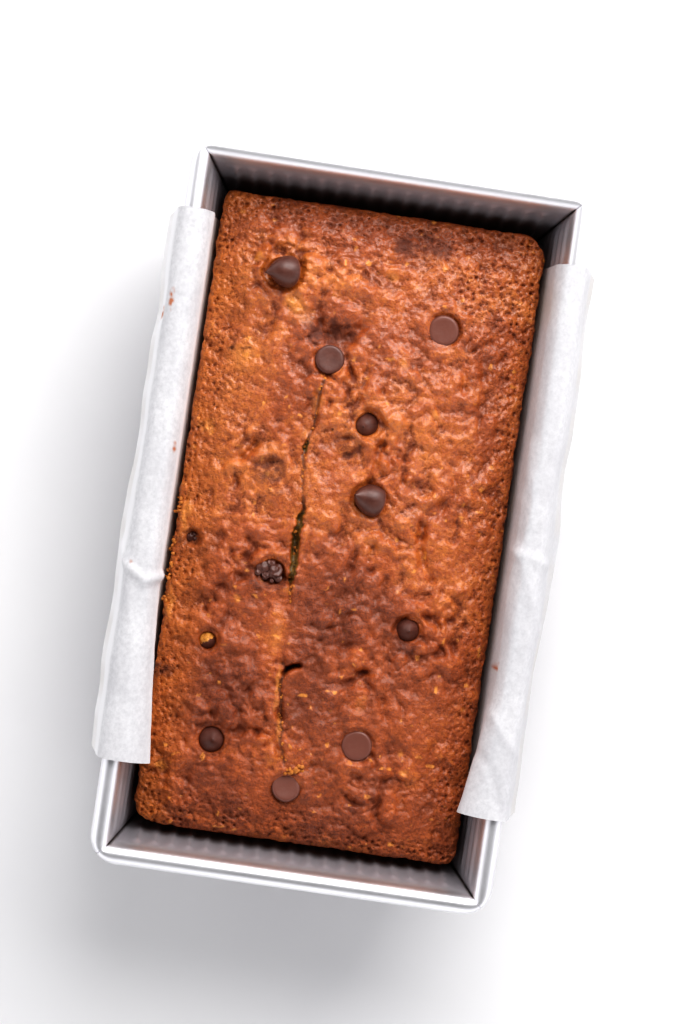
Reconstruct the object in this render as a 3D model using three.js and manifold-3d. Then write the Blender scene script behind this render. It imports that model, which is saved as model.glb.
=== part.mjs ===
// Banana bread as baked: a loaf with chocolate drops in its crust, on a parchment sling, in its ribbed steel loaf tin.
// Millimetres, +Z up. X runs across the tin, Y along it, and the origin is the middle of the tin's underside.
import * as THREE from "three";
import { mergeVertices } from "three/addons/utils/BufferGeometryUtils.js";
import Module from "manifold-3d";

const wasm = await Module();
wasm.setup();

const INCH = 25.4;
const GAP = 0.3; // the air left between pieces that touch

// The tin: folded from one sheet, with its mouth rolled round a wire.
const MOUTH_X = (4.5 * INCH) / 2;
const MOUTH_Y = (8.5 * INCH) / 2;
const DEPTH = 2.75 * INCH;
const SHEET = 0.8;
const HEIGHT = DEPTH + SHEET;
const DRAFT = 0.155; // how far a wall leans out for each millimetre of height
const CORNER_R = 3;
const ROLL_R = 3;
const ROLL_BITE = 0.02; // how far the roll reaches into the wall's inner face
const ROLL_X = MOUTH_X + ROLL_R - ROLL_BITE;
const ROLL_Y = MOUTH_Y + ROLL_R - ROLL_BITE;
const ROLL_Z = HEIGHT - ROLL_R;
const ROLL_CORNER_R = CORNER_R + ROLL_R;
const MITRE_WIDTH = 0.5;
const MITRE_DEPTH = 1.1;
const MITRE_LENGTH = 16;

// The pressed ribs: along the floor, up the end walls and level along the side walls.
const RIB_PITCH = 5.48;
const RIB_WIDTH = 3;
const RIB_TOP = 1.3;
const RIB_HEIGHT = 0.5;
const RIB_ROOT = 0.3; // how deep a rib's root is sunk in the sheet
const RIB_START = 8.4; // from the mouth down to the first rib

// The loaf, which has shrunk a little from the tin's ends.
const SHOULDER_Z = 50; // where the crust meets the tin's side
const CREST_Z = 61.5;
const LOAF_X = 52.1;
const LOAF_Y = 101.3;
const LOAF_MID_Y = -0.6;
const LOAF_CORNER_R = 8;
const LOAF_BASE_CORNER_R = 5;
const BASE_TUCK = 3; // how far the bottom edge is rounded in
const SPLIT_DEPTH = 5;

// The parchment sling: a strip across the tin, folded out over both side rolls.
const PAPER = 0.6;
const PAPER_AIR = 0.35; // from the paper to the ribs and the roll
const PAPER_NEAR_Y = -82;
const PAPER_FAR_Y = 91;
const FLAP_DROP = 30; // from the roll's middle down to the free edge

// Chocolate drops, each with a flat base and a pointed top.
const DROP_R = 5;
const DROP_H = 9.6;

// The inner face of the side walls and of the end walls at height z.
const wallX = (z) => MOUTH_X - DRAFT * (ROLL_Z - z);
const wallY = (z) => MOUTH_Y - DRAFT * (ROLL_Z - z);

// ---------- making and joining closed meshes ----------

function meshOf(points, triangles) {
  const geometry = new THREE.BufferGeometry();
  geometry.setAttribute("position", new THREE.Float32BufferAttribute(points.flat(), 3));
  geometry.setIndex(triangles.flat());
  return geometry;
}

// A closed skin over rings that have the same number of points, each ring anticlockwise seen from its far side.
function loft(rings, startPoint, endPoint) {
  const n = rings[0].length;
  const points = rings.flat().concat([startPoint, endPoint]);
  const start = points.length - 2;
  const end = points.length - 1;
  const triangles = [];
  for (let i = 0; i < n; i += 1) {
    const j = (i + 1) % n;
    triangles.push([start, j, i]);
    for (let r = 0; r + 1 < rings.length; r += 1) {
      const low = r * n;
      const high = low + n;
      triangles.push([low + i, low + j, high + j], [low + i, high + j, high + i]);
    }
    const last = (rings.length - 1) * n;
    triangles.push([last + i, last + j, end]);
  }
  return meshOf(points, triangles);
}

// The outline of a rectangle with round corners, anticlockwise from above.
function roundedRectangle(halfX, halfY, radius, cornerSteps, sideSteps = 1) {
  const outline = [];
  const corners = [[1, 1, 0], [-1, 1, 1], [-1, -1, 2], [1, -1, 3]];
  for (const [sx, sy, quarter] of corners) {
    for (let i = 0; i <= cornerSteps; i += 1) {
      const a = (quarter + i / cornerSteps) * (Math.PI / 2);
      outline.push([
        sx * (halfX - radius) + radius * Math.cos(a),
        sy * (halfY - radius) + radius * Math.sin(a),
      ]);
    }
  }
  const whole = [];
  outline.forEach(([x, y], i) => {
    const [nx, ny] = outline[(i + 1) % outline.length];
    const steps = (i + 1) % (cornerSteps + 1) === 0 ? sideSteps : 1;
    for (let k = 0; k < steps; k += 1) {
      whole.push([x + ((nx - x) * k) / steps, y + ((ny - y) * k) / steps]);
    }
  });
  return whole;
}

const lift = (outline, z, midY = 0) => outline.map(([x, y]) => [x, y + midY, z]);

function solid(geometry, matrix = new THREE.Matrix4()) {
  const bare = new THREE.BufferGeometry();
  const loose = geometry.index ? geometry.toNonIndexed() : geometry;
  bare.setAttribute("position", loose.getAttribute("position").clone());
  bare.applyMatrix4(matrix);
  const merged = mergeVertices(bare, 1e-4);
  return new wasm.Manifold(
    new wasm.Mesh({
      numProp: 3,
      vertProperties: merged.attributes.position.array,
      triVerts: new Uint32Array(merged.index.array),
    }),
  );
}

function geometryOf(manifold) {
  const { numProp, numVert, vertProperties, triVerts } = manifold.getMesh();
  const positions = new Float32Array(numVert * 3);
  for (let i = 0; i < numVert; i += 1) {
    positions.set(vertProperties.subarray(i * numProp, i * numProp + 3), i * 3);
  }
  const geometry = new THREE.BufferGeometry();
  geometry.setAttribute("position", new THREE.BufferAttribute(positions, 3));
  geometry.setIndex(new THREE.BufferAttribute(new Uint32Array(triVerts), 1));
  geometry.computeVertexNormals();
  return geometry;
}

// ---------- the tin ----------

function tinShell() {
  const outside = (z) =>
    lift(roundedRectangle(wallX(z) + SHEET, wallY(z) + SHEET, CORNER_R + SHEET, 5), z);
  const inside = (z) => lift(roundedRectangle(wallX(z), wallY(z), CORNER_R, 5), z);
  const over = HEIGHT + 2;
  const body = solid(loft([outside(0), outside(ROLL_Z)], [0, 0, 0], [0, 0, ROLL_Z]));
  const hollow = solid(loft([inside(SHEET), inside(over)], [0, 0, SHEET], [0, 0, over]));
  return body.subtract(hollow);
}

// The rolled mouth: a round bead swept once round the tin.
function roll() {
  const sides = 12;
  const path = roundedRectangle(ROLL_X, ROLL_Y, ROLL_CORNER_R, 5);
  const points = [];
  const triangles = [];
  path.forEach(([x, y], i) => {
    const cornerX = Math.sign(x) * (ROLL_X - ROLL_CORNER_R);
    const cornerY = Math.sign(y) * (ROLL_Y - ROLL_CORNER_R);
    const out = new THREE.Vector2(x - cornerX, y - cornerY).normalize();
    for (let k = 0; k < sides; k += 1) {
      const a = (2 * Math.PI * k) / sides;
      const reach = ROLL_R * Math.cos(a);
      points.push([x + out.x * reach, y + out.y * reach, ROLL_Z + ROLL_R * Math.sin(a)]);
      const next = ((i + 1) % path.length) * sides;
      const k2 = (k + 1) % sides;
      triangles.push(
        [i * sides + k, next + k, next + k2],
        [i * sides + k, next + k2, i * sides + k2],
      );
    }
  });
  return solid(meshOf(points, triangles));
}

// The fine cut over each corner of the roll, where two folded edges meet.
function mitreCuts() {
  return [[1, 1], [-1, 1], [-1, -1], [1, -1]].map(([sx, sy]) => {
    const blade = new THREE.BoxGeometry(MITRE_LENGTH, MITRE_WIDTH, 2 * MITRE_DEPTH);
    const matrix = new THREE.Matrix4()
      .makeTranslation(sx * (ROLL_X - 1), sy * (ROLL_Y - 1), HEIGHT)
      .multiply(new THREE.Matrix4().makeRotationZ(Math.atan2(sy, sx)));
    return solid(blade, matrix);
  });
}

// A rib that runs along +Y from the origin, with its flat root in the XY plane and its top towards +Z.
function ribGeometry(length) {
  const profile = new THREE.Shape([
    new THREE.Vector2(-RIB_WIDTH / 2, -RIB_ROOT),
    new THREE.Vector2(RIB_WIDTH / 2, -RIB_ROOT),
    new THREE.Vector2(RIB_TOP / 2, RIB_HEIGHT),
    new THREE.Vector2(-RIB_TOP / 2, RIB_HEIGHT),
  ]);
  const geometry = new THREE.ExtrudeGeometry(profile, { depth: length, bevelEnabled: false });
  return geometry.rotateX(Math.PI / 2).translate(0, length, 0);
}

// Puts a rib where run is its length, out is the way its top faces, and at is its start.
function placedRib(length, at, run, out) {
  const across = new THREE.Vector3().crossVectors(run, out);
  const matrix = new THREE.Matrix4().makeBasis(across, run, out).setPosition(at);
  return solid(ribGeometry(length), matrix);
}

function floorRibs() {
  const reach = wallX(SHEET) - CORNER_R - RIB_WIDTH / 2;
  const half = wallY(SHEET) - CORNER_R;
  const count = Math.floor(reach / RIB_PITCH);
  const ribs = [];
  for (let k = -count; k <= count; k += 1) {
    const at = new THREE.Vector3(k * RIB_PITCH, -half, SHEET);
    ribs.push(placedRib(2 * half, at, new THREE.Vector3(0, 1, 0), new THREE.Vector3(0, 0, 1)));
  }
  return ribs;
}

function sideWallRibs() {
  const ribs = [];
  const out = new THREE.Vector3(-1, 0, DRAFT).normalize();
  for (let drop = RIB_START; drop < DEPTH - RIB_PITCH; drop += RIB_PITCH) {
    const z = HEIGHT - drop;
    const half = wallY(z) - CORNER_R;
    for (const side of [1, -1]) {
      const at = new THREE.Vector3(side * wallX(z), -side * half, z);
      const facing = new THREE.Vector3(side * out.x, 0, out.z);
      ribs.push(placedRib(2 * half, at, new THREE.Vector3(0, side, 0), facing));
    }
  }
  return ribs;
}

function endWallRibs() {
  const ribs = [];
  const topZ = HEIGHT - RIB_START + 2;
  const count = Math.floor((wallX(topZ) - CORNER_R - RIB_WIDTH / 2) / RIB_PITCH);
  for (const side of [1, -1]) {
    const run = new THREE.Vector3(0, side * DRAFT, 1).normalize();
    const out = new THREE.Vector3(0, -side, DRAFT).normalize();
    for (let k = -count; k <= count; k += 1) {
      const reach = Math.abs(k) * RIB_PITCH + RIB_WIDTH / 2 + CORNER_R;
      const lowZ = Math.max(SHEET + 1, ROLL_Z - (MOUTH_X - reach) / DRAFT);
      const at = new THREE.Vector3(k * RIB_PITCH, side * wallY(lowZ), lowZ);
      ribs.push(placedRib((topZ - lowZ) / run.z, at, run, out));
    }
  }
  return ribs;
}

function makeTin() {
  let tin = tinShell().add(roll());
  for (const rib of [...floorRibs(), ...sideWallRibs(), ...endWallRibs()]) tin = tin.add(rib);
  for (const cut of mitreCuts()) tin = tin.subtract(cut);
  return tin;
}

// ---------- the loaf ----------

// The height of the crust: a long dome that falls away at the ends, with slow swells along it.
function crustZ(x, y) {
  const u = Math.min(1, Math.abs(x) / LOAF_X);
  const v = Math.min(1, Math.abs(y - LOAF_MID_Y) / LOAF_Y);
  const across = (1 - u ** 2.6) ** 0.7;
  const along = (1 - v ** 6) ** 0.6;
  const swell = 0.7 * Math.sin(x / 13 + 0.6) * Math.sin(y / 19 - 0.4) + 0.5 * Math.sin(y / 31 + x / 23);
  return SHOULDER_Z + across * along * (CREST_Z - SHOULDER_Z + swell);
}

const LOAF_BASE_Z = SHEET + RIB_HEIGHT + PAPER_AIR + PAPER + GAP;
const SIDE_ROOM = wallX(SHOULDER_Z) - LOAF_X;
const END_ROOM = wallY(SHOULDER_Z) - LOAF_Y;

function loafBody() {
  const cornerSteps = 4;
  const sideSteps = 7;
  const outline = (halfX, halfY, r) => roundedRectangle(halfX, halfY, r, cornerSteps, sideSteps);
  const rings = [];
  for (const part of [0, 0.06, 1]) {
    const z = LOAF_BASE_Z + (SHOULDER_Z - LOAF_BASE_Z) * part;
    const tuck = part === 0 ? BASE_TUCK : 0;
    const radius = LOAF_BASE_CORNER_R + (LOAF_CORNER_R - LOAF_BASE_CORNER_R) * part;
    const halfX = wallX(z) - SIDE_ROOM - tuck;
    const halfY = wallY(z) - END_ROOM - tuck;
    rings.push(lift(outline(halfX, halfY, radius), z, LOAF_MID_Y));
  }
  const rim = outline(LOAF_X, LOAF_Y, LOAF_CORNER_R);
  for (const inset of [0.6, 2, 5, 10, 18, 28, 40]) {
    const sx = 1 - inset / LOAF_X;
    const sy = 1 - inset / LOAF_Y;
    rings.push(
      rim.map(([x, y]) => {
        const px = x * sx;
        const py = y * sy + LOAF_MID_Y;
        return [px, py, crustZ(px, py)];
      }),
    );
  }
  return solid(
    loft(rings, [0, LOAF_MID_Y, LOAF_BASE_Z], [0, LOAF_MID_Y, crustZ(0, LOAF_MID_Y)]),
  );
}

// The split that opened along the crust, left of the middle: its line from far to near, and how wide it gapes.
const SPLIT_LINE = new THREE.SplineCurve(
  [[-12, 46], [-12.8, 34], [-14.4, 22], [-12.4, 4], [-12.9, -14], [-11.9, -30], [-11.2, -50], [-9, -64], [-6.5, -77]].map(
    ([x, y]) => new THREE.Vector2(x, y),
  ),
);
const SPLIT_STEPS = 18;
const splitHalfWidth = (y) => 0.15 + 0.75 * Math.exp(-(((y + 8) / 9) ** 2));

function splitCut() {
  const line = SPLIT_LINE.getPoints(SPLIT_STEPS);
  const left = line.map((p) => new THREE.Vector2(p.x - splitHalfWidth(p.y), p.y));
  const right = line.map((p) => new THREE.Vector2(p.x + splitHalfWidth(p.y), p.y)).reverse();
  const blade = new THREE.ExtrudeGeometry(new THREE.Shape([...left, ...right]), {
    depth: 20,
    bevelEnabled: false,
  });
  return solid(blade.translate(0, 0, CREST_Z - SPLIT_DEPTH));
}

// ---------- the chocolate drops ----------

// Half the outline of a drop, from the middle of its base out and up to its tip.
function dropOutline(radius, height) {
  const points = [new THREE.Vector2(0, 0), new THREE.Vector2(radius * 0.9, 0)];
  const steps = 4;
  for (let i = 0; i < steps; i += 1) {
    const t = 0.08 + (0.92 * i) / steps;
    points.push(new THREE.Vector2(radius * (1 - t ** 1.7) ** 0.8, height * t));
  }
  points.push(new THREE.Vector2(0, height));
  return points;
}

function dropGeometry(grow = 0) {
  const outline = dropOutline(DROP_R + grow, DROP_H + 2 * grow);
  return new THREE.LatheGeometry(outline, 12).rotateX(Math.PI / 2).translate(0, 0, -grow);
}

// Where each drop sits in the crust. lean turns its tip from straight up, 180 being base up, towards heading,
// in degrees from +X. rise is how far its base stands above the crust, and scale its size.
const DROPS = [
  { x: -26.9, y: 76.6, lean: 56, heading: 184, rise: 1.6, scale: 1.06 },
  { x: 22.9, y: 65.6, lean: 177, heading: 60, rise: 1.0, scale: 1 },
  { x: -11.2, y: 51.3, lean: 176, heading: 250, rise: 0.9, scale: 0.96 },
  { x: 3.8, y: 33.0, lean: 24, heading: 215, rise: -5.2, scale: 0.9 },
  { x: 10.4, y: 9.4, lean: 60, heading: 170, rise: -1.2, scale: 1.0 },
  { x: -19.2, y: -17.6, lean: 20, heading: 90, rise: -6.8, scale: 0.95 },
  { x: 25.6, y: -29.4, lean: 8, heading: 30, rise: -5.4, scale: 0.86 },
  { x: -36.2, y: -41.6, lean: 10, heading: 0, rise: -5.2, scale: 0.7 },
  { x: -30.6, y: -72.3, lean: 14, heading: 20, rise: -5.4, scale: 1 },
  { x: 14.9, y: -67.4, lean: 178, heading: 0, rise: 0.9, scale: 1 },
  { x: -5.0, y: -83.6, lean: 172, heading: 280, rise: 0.9, scale: 0.92 },
  { x: -45.0, y: -10.5, lean: 30, heading: 160, rise: -4.2, scale: 0.55 },
];

function dropMatrix({ x, y, lean, heading, rise, scale }) {
  const turn = THREE.MathUtils.degToRad(heading);
  const tip = new THREE.Vector3(-Math.sin(turn), Math.cos(turn), 0);
  const quaternion = new THREE.Quaternion().setFromAxisAngle(tip, THREE.MathUtils.degToRad(lean));
  const at = new THREE.Vector3(x, y, crustZ(x, y) + rise);
  return new THREE.Matrix4().compose(at, quaternion, new THREE.Vector3(scale, scale, scale));
}

function makeLoaf() {
  let loaf = loafBody().subtract(splitCut());
  for (const drop of DROPS) loaf = loaf.subtract(solid(dropGeometry(GAP), dropMatrix(drop)));
  return loaf;
}

// ---------- the parchment sling ----------

// How far the paper stands in from the side wall above the loaf, at y: on the left (-1) or the right (1) side.
function paperLift(side, y) {
  const start = side < 0 ? -30 : -50;
  const end = side < 0 ? 7.5 : 6.5;
  const resting = side < 0 ? 2.2 : 0.5;
  const t = Math.max(0, (start - y) / (start - PAPER_NEAR_Y));
  return resting + (end - resting) * t ** 1.2;
}

const PAPER_ROOM = RIB_HEIGHT + PAPER_AIR + PAPER / 2; // from the sheet's face to the paper's middle
const paperWallX = (z) => wallX(z) - PAPER_ROOM;

// The middle line of the paper on one side at y, from the middle of the floor out to the free edge: [x, z].
function halfPaperLine(side, y) {
  const floorZ = SHEET + PAPER_ROOM;
  const bend = 4;
  const low = [[0, floorZ]];
  for (let i = 0; i <= 2; i += 1) {
    const t = i / 2;
    const x = (1 - t) ** 2 * (paperWallX(floorZ) - bend) + 2 * t * (1 - t) * paperWallX(floorZ)
      + t ** 2 * paperWallX(floorZ + bend);
    low.push([x, floorZ + t ** 2 * bend]);
  }
  const away = paperLift(side, y);
  const over = ROLL_R + PAPER_AIR + PAPER / 2;
  const curve = new THREE.SplineCurve(
    [
      [paperWallX(SHOULDER_Z - 10), SHOULDER_Z - 10],
      [paperWallX(SHOULDER_Z + 1.5), SHOULDER_Z + 1.5],
      [paperWallX(57) - 0.5 * away, 57.5],
      [paperWallX(64) - away, 64.5],
      [ROLL_X - over * 0.75 - 0.62 * away, ROLL_Z + over * 0.78 + 0.12 * away],
      [ROLL_X - 0.2 * away, ROLL_Z + over + 0.25 * away],
      [ROLL_X + over * 0.8, ROLL_Z + over * 0.72 + 0.14 * away],
      [ROLL_X + over + 0.9, ROLL_Z - 2],
      [ROLL_X + over + 3.2, ROLL_Z - FLAP_DROP * 0.5],
      [ROLL_X + over + 5.5, ROLL_Z - FLAP_DROP],
    ].map(([x, z]) => new THREE.Vector2(x, z)),
  );
  const high = curve.getPoints(18).map((p) => [p.x, p.y]);
  return [...low, ...high];
}

function paperRing(y) {
  const right = halfPaperLine(1, y);
  const left = halfPaperLine(-1, y).map(([x, z]) => [-x, z]);
  const line = [...left.reverse(), ...right.slice(1)].map(([x, z]) => new THREE.Vector2(x, z));
  const shifted = (by) =>
    line.map((p, i) => {
      const along = line[Math.min(i + 1, line.length - 1)].clone().sub(line[Math.max(i - 1, 0)]).normalize();
      return [p.x - along.y * by, y, p.y + along.x * by];
    });
  return [...shifted(-PAPER / 2), ...shifted(PAPER / 2).reverse()];
}

// The strip is not convex, so each ring is closed by pairs across its thickness.
function makePaper() {
  const stations = [];
  const count = 12;
  for (let i = 0; i <= count; i += 1) {
    stations.push(PAPER_FAR_Y + ((PAPER_NEAR_Y - PAPER_FAR_Y) * i) / count);
  }
  const rings = stations.map(paperRing);
  const n = rings[0].length;
  const triangles = [];
  for (let r = 0; r + 1 < rings.length; r += 1) {
    for (let i = 0; i < n; i += 1) {
      const j = (i + 1) % n;
      const a = r * n;
      const b = a + n;
      triangles.push([a + i, a + j, b + j], [a + i, b + j, b + i]);
    }
  }
  const last = (rings.length - 1) * n;
  for (let i = 0; i + 1 < n / 2; i += 1) {
    const across = n - 1 - i;
    triangles.push([i, across, across - 1], [i, across - 1, i + 1]);
    triangles.push([last + i, last + across - 1, last + across], [last + i, last + i + 1, last + across - 1]);
  }
  return solid(meshOf(rings.flat(), triangles));
}

// ---------- the whole ----------

const steel = new THREE.MeshStandardMaterial({ color: 0xb9b6b8, roughness: 0.38, metalness: 1 });
const parchment = new THREE.MeshStandardMaterial({ color: 0xf0eeec, roughness: 0.75, metalness: 0 });
const crust = new THREE.MeshStandardMaterial({ color: 0x9c4f22, roughness: 0.5, metalness: 0 });
const chocolate = new THREE.MeshStandardMaterial({ color: 0x3d211a, roughness: 0.4, metalness: 0 });

const bread = new THREE.Group();

function addPiece(name, geometry, material) {
  const mesh = new THREE.Mesh(geometry, material);
  mesh.name = name;
  bread.add(mesh);
  return mesh;
}

addPiece("loaf_tin", geometryOf(makeTin()), steel);
addPiece("parchment_sling", geometryOf(makePaper()), parchment);
addPiece("banana_loaf", geometryOf(makeLoaf()), crust);
DROPS.forEach((drop, i) => {
  const name = `chocolate_drop_${String(i + 1).padStart(2, "0")}`;
  const mesh = addPiece(name, dropGeometry(), chocolate);
  mesh.applyMatrix4(dropMatrix(drop));
});

export default bread;
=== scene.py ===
# %% [markdown]
# # Banana bread in its loaf tin
#
# A loaf of banana bread has just been baked in a ribbed steel tin. A strip of parchment lies under it and
# folds out over both long sides, so that the loaf can be lifted out. Chocolate drops sit in the crust.
# The solid model is already made, and this lesson gives it its looks: the pressed and rolled steel, the
# creased paper, the wrinkled crust with its long split, and the drops.
#
# The first step loads that solid model, the frame. Every piece below is made in the same place and size.

# %% Load the frame
import math

import bpy
import numpy as np
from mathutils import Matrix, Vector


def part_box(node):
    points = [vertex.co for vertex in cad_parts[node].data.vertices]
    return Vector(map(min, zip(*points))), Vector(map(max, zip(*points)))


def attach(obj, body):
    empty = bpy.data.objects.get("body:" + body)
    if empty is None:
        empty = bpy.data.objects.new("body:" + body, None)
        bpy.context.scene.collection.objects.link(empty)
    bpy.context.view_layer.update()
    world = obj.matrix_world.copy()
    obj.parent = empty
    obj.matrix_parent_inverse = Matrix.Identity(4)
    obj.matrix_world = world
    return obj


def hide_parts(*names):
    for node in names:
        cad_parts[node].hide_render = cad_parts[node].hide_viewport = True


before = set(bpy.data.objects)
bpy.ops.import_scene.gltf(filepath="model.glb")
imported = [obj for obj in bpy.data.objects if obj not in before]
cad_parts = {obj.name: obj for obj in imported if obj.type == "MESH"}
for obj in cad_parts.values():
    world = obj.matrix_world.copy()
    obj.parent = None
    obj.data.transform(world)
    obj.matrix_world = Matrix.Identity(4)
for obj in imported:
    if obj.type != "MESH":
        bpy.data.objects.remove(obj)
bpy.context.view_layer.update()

print("nodes in the frame:", len(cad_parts))

# %% [markdown]
# ## Sizes
#
# All work below is in millimetres, and is turned into Blender's metres when points are written. The sizes
# come from the boxes of the solid pieces, and from how such a tin is made: a sheet under a millimetre thick,
# walls that lean out a little, and a mouth rolled round a wire.

# %% Read the sizes from the frame
MM = 0.001


def box_mm(node):
    """The lowest and highest corner of a solid piece, in millimetres."""
    low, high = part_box(node)
    return np.array(low) / MM, np.array(high) / MM


tin_low, tin_high = box_mm("loaf_tin")
loaf_low, loaf_high = box_mm("banana_loaf")
paper_low, paper_high = box_mm("parchment_sling")

SHEET = 0.8
ROLL = 3.0
DRAFT = 0.155
HEIGHT = tin_high[2]
ROLL_Z = HEIGHT - ROLL
MOUTH_X = tin_high[0] - 2 * ROLL
MOUTH_Y = tin_high[1] - 2 * ROLL
LOAF_X = (loaf_high[0] - loaf_low[0]) / 2
LOAF_Y = (loaf_high[1] - loaf_low[1]) / 2
LOAF_MID_Y = (loaf_high[1] + loaf_low[1]) / 2
SHOULDER_Z = 50.0
CREST = 11.5
EDGE_LIP = 2.0
print("mouth", MOUTH_X * 2, "by", MOUTH_Y * 2, "mm, loaf", LOAF_X * 2, "by", LOAF_Y * 2, "mm")

# %% [markdown]
# ## Helpers for points
#
# Blender's operators make and cut the shapes. The small bumps and waves are easier as sums, so two helpers
# read a piece's points as a table of numbers and write them back. A third stores one number a point, such as
# how dark the crust is there, and a material can read that later by name. The rest name, select and smooth.

# %% Read, write and mark points


def read_points(piece):
    """The piece's points in millimetres, one row each."""
    flat = np.empty(len(piece.data.vertices) * 3)
    piece.data.vertices.foreach_get("co", flat)
    return flat.reshape(-1, 3) / MM


def write_points(piece, points):
    """Moves the piece's points to these places, given in millimetres."""
    piece.data.vertices.foreach_set("co", (points * MM).ravel())
    piece.data.update()


def mark_points(piece, name, amounts):
    """Stores one number for each point under a name that a material can read."""
    layer = piece.data.attributes.new(name, "FLOAT", "POINT")
    layer.data.foreach_set("value", np.clip(amounts, 0, 1).astype(np.float32))


def named(name):
    """Gives the piece that was just added its name, and returns it."""
    piece = bpy.context.active_object
    piece.name = name
    piece.data.name = name
    return piece


def only(piece):
    """Selects this piece alone and makes it the active one."""
    bpy.ops.object.select_all(action="DESELECT")
    piece.select_set(True)
    bpy.context.view_layer.objects.active = piece


def add_grid(name, across, along):
    """A flat grid from -1 to 1 each way, with this many squares across and along."""
    bpy.ops.object.select_all(action="DESELECT")
    bpy.ops.mesh.primitive_grid_add(x_subdivisions=across, y_subdivisions=along, size=2)
    return named(name)


def smooth(piece, degrees):
    """Shades the piece smooth, apart from edges sharper than this angle."""
    only(piece)
    bpy.ops.object.shade_smooth_by_angle(angle=math.radians(degrees))


# %% [markdown]
# Natural surfaces need noise that is the same on every run. This one lays random slopes on a grid and eases
# from one to the next. Its bumps are as wide as the size it is given. The second one scatters seeds and gives
# the distance to the nearest, for pores and specks.

# %% Noise in numbers
TABLE = 128


def ease(t):
    """Goes from 0 to 1 with a soft start and a soft end, and stays there."""
    t = np.clip(t, 0, 1)
    return t * t * (3 - 2 * t)


def swells(x, y, size, seed):
    """Soft noise between about -1 and 1, with bumps this many millimetres wide."""
    turn = np.random.default_rng(seed).uniform(0, 2 * np.pi, (TABLE, TABLE))
    u = x / size
    v = y / size
    column = np.floor(u).astype(int)
    row = np.floor(v).astype(int)
    fu = u - column
    fv = v - row

    def slope(i, j):
        angle = turn[(column + i) % TABLE, (row + j) % TABLE]
        return np.cos(angle) * (fu - i) + np.sin(angle) * (fv - j)

    su = ease(fu)
    sv = ease(fv)
    near = slope(0, 0) * (1 - su) + slope(1, 0) * su
    far = slope(0, 1) * (1 - su) + slope(1, 1) * su
    return (near * (1 - sv) + far * sv) * 1.5


def seeds(x, y, size, seed):
    """How far each point is from the nearest of scattered seeds, as a share of their spacing."""
    rng = np.random.default_rng(seed)
    jitter = rng.uniform(0.1, 0.9, (2, TABLE, TABLE))
    u = x / size
    v = y / size
    column = np.floor(u).astype(int)
    row = np.floor(v).astype(int)
    nearest = np.full(x.shape, 9.0)
    for i in (-1, 0, 1):
        for j in (-1, 0, 1):
            a = (column + i) % TABLE
            b = (row + j) % TABLE
            gap = np.hypot(column + i + jitter[0, a, b] - u, row + j + jitter[1, a, b] - v)
            nearest = np.minimum(nearest, gap)
    return nearest


def away_from(x, y, line):
    """How far each point is from a line of straight stretches, in millimetres."""
    nearest = np.full(x.shape, 999.0)
    for (ax, ay), (bx, by) in zip(line, line[1:]):
        run = (bx - ax) ** 2 + (by - ay) ** 2
        part = np.clip(((x - ax) * (bx - ax) + (y - ay) * (by - ay)) / run, 0, 1)
        nearest = np.minimum(nearest, np.hypot(x - ax - part * (bx - ax), y - ay - part * (by - ay)))
    return nearest


def spot(x, y, at, across, along):
    """1 at a place, and down to 0 in a soft oval round it."""
    return np.exp(-(((x - at[0]) / across) ** 2) - ((y - at[1]) / along) ** 2)


# %% [markdown]
# ## The tin
#
# The real tin is one sheet of coated steel. Ribs are pressed into it before it is folded: they run the length
# of the floor, turn up the end walls, and run level along the side walls. The corners are folded, with a
# fine seam, and the mouth is rolled outwards round a wire.
#
# A box with extruded walls would need every rib cut by hand. It is quicker to see each wall as a flat grid
# and press it: one profile, from the floor's edge round the foot, up the wall and over the roll, serves all
# four walls. As both walls at a corner share it, they meet in a clean mitre, as in a picture frame.

# %% The wall's profile
FOOT = 3.0
RIB_PITCH = 5.48
RIB_HEIGHT = 0.75
RIB_START = 8.4
SEAM = 0.4
TIP_R = 9.0
FOOT_ROWS = 4
WALL_ROWS = 74
ROLL_ROWS = 15


def wall_profile():
    """Each row's distance in from the mouth, and its height."""
    lean = math.atan(DRAFT)
    foot_inset = DRAFT * (ROLL_Z - SHEET)
    turn = np.linspace(0, math.pi / 2 - lean, FOOT_ROWS)
    back = FOOT * math.tan((math.pi / 2 - lean) / 2)
    foot = np.stack([foot_inset + back - FOOT * np.sin(turn), SHEET + FOOT - FOOT * np.cos(turn)])
    rise = np.linspace(foot[1, -1], ROLL_Z, WALL_ROWS + 1)[1:]
    wall = np.stack([DRAFT * (ROLL_Z - rise), rise])
    turn = np.linspace(math.pi, -math.radians(140), ROLL_ROWS + 1)[1:]
    roll = np.stack([-ROLL - ROLL * np.cos(turn), ROLL_Z + ROLL * np.sin(turn)])
    return np.concatenate([foot, wall, roll], axis=1)


profile = wall_profile()
print("rows in the profile:", profile.shape[1], "foot inset", round(profile[0, 0], 1), "mm")

# %% [markdown]
# The columns of the grid are close together at the corners, where the seam and the rounded tip of the roll
# are. The end walls also need several columns for every rib.

# %% The columns
END_COLUMNS = 124
SIDE_STOPS = (0, SEAM, 1.4, 2.6, 4, 5.5, 7, 9, 12, 18, 28, 42, 60, 84)


def end_columns():
    """Where the end wall's columns are, from -1 to 1 of its half width."""
    inner = np.linspace(-1, 1, END_COLUMNS - 1) * (1 - SEAM / MOUTH_X)
    return np.concatenate([[-1], inner, [1]])


def side_columns():
    """Where the side wall's columns are, from -1 to 1 of its half length."""
    from_corner = 1 - np.array(SIDE_STOPS) / MOUTH_Y
    return np.concatenate([-from_corner, [0], from_corner[::-1]])


def rib_wave(distance):
    """The height of the ribs at a distance across them: rounded ridges with flatter ground between."""
    return RIB_HEIGHT * (0.5 + 0.5 * np.cos(2 * np.pi * distance / RIB_PITCH)) ** 2.0


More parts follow.
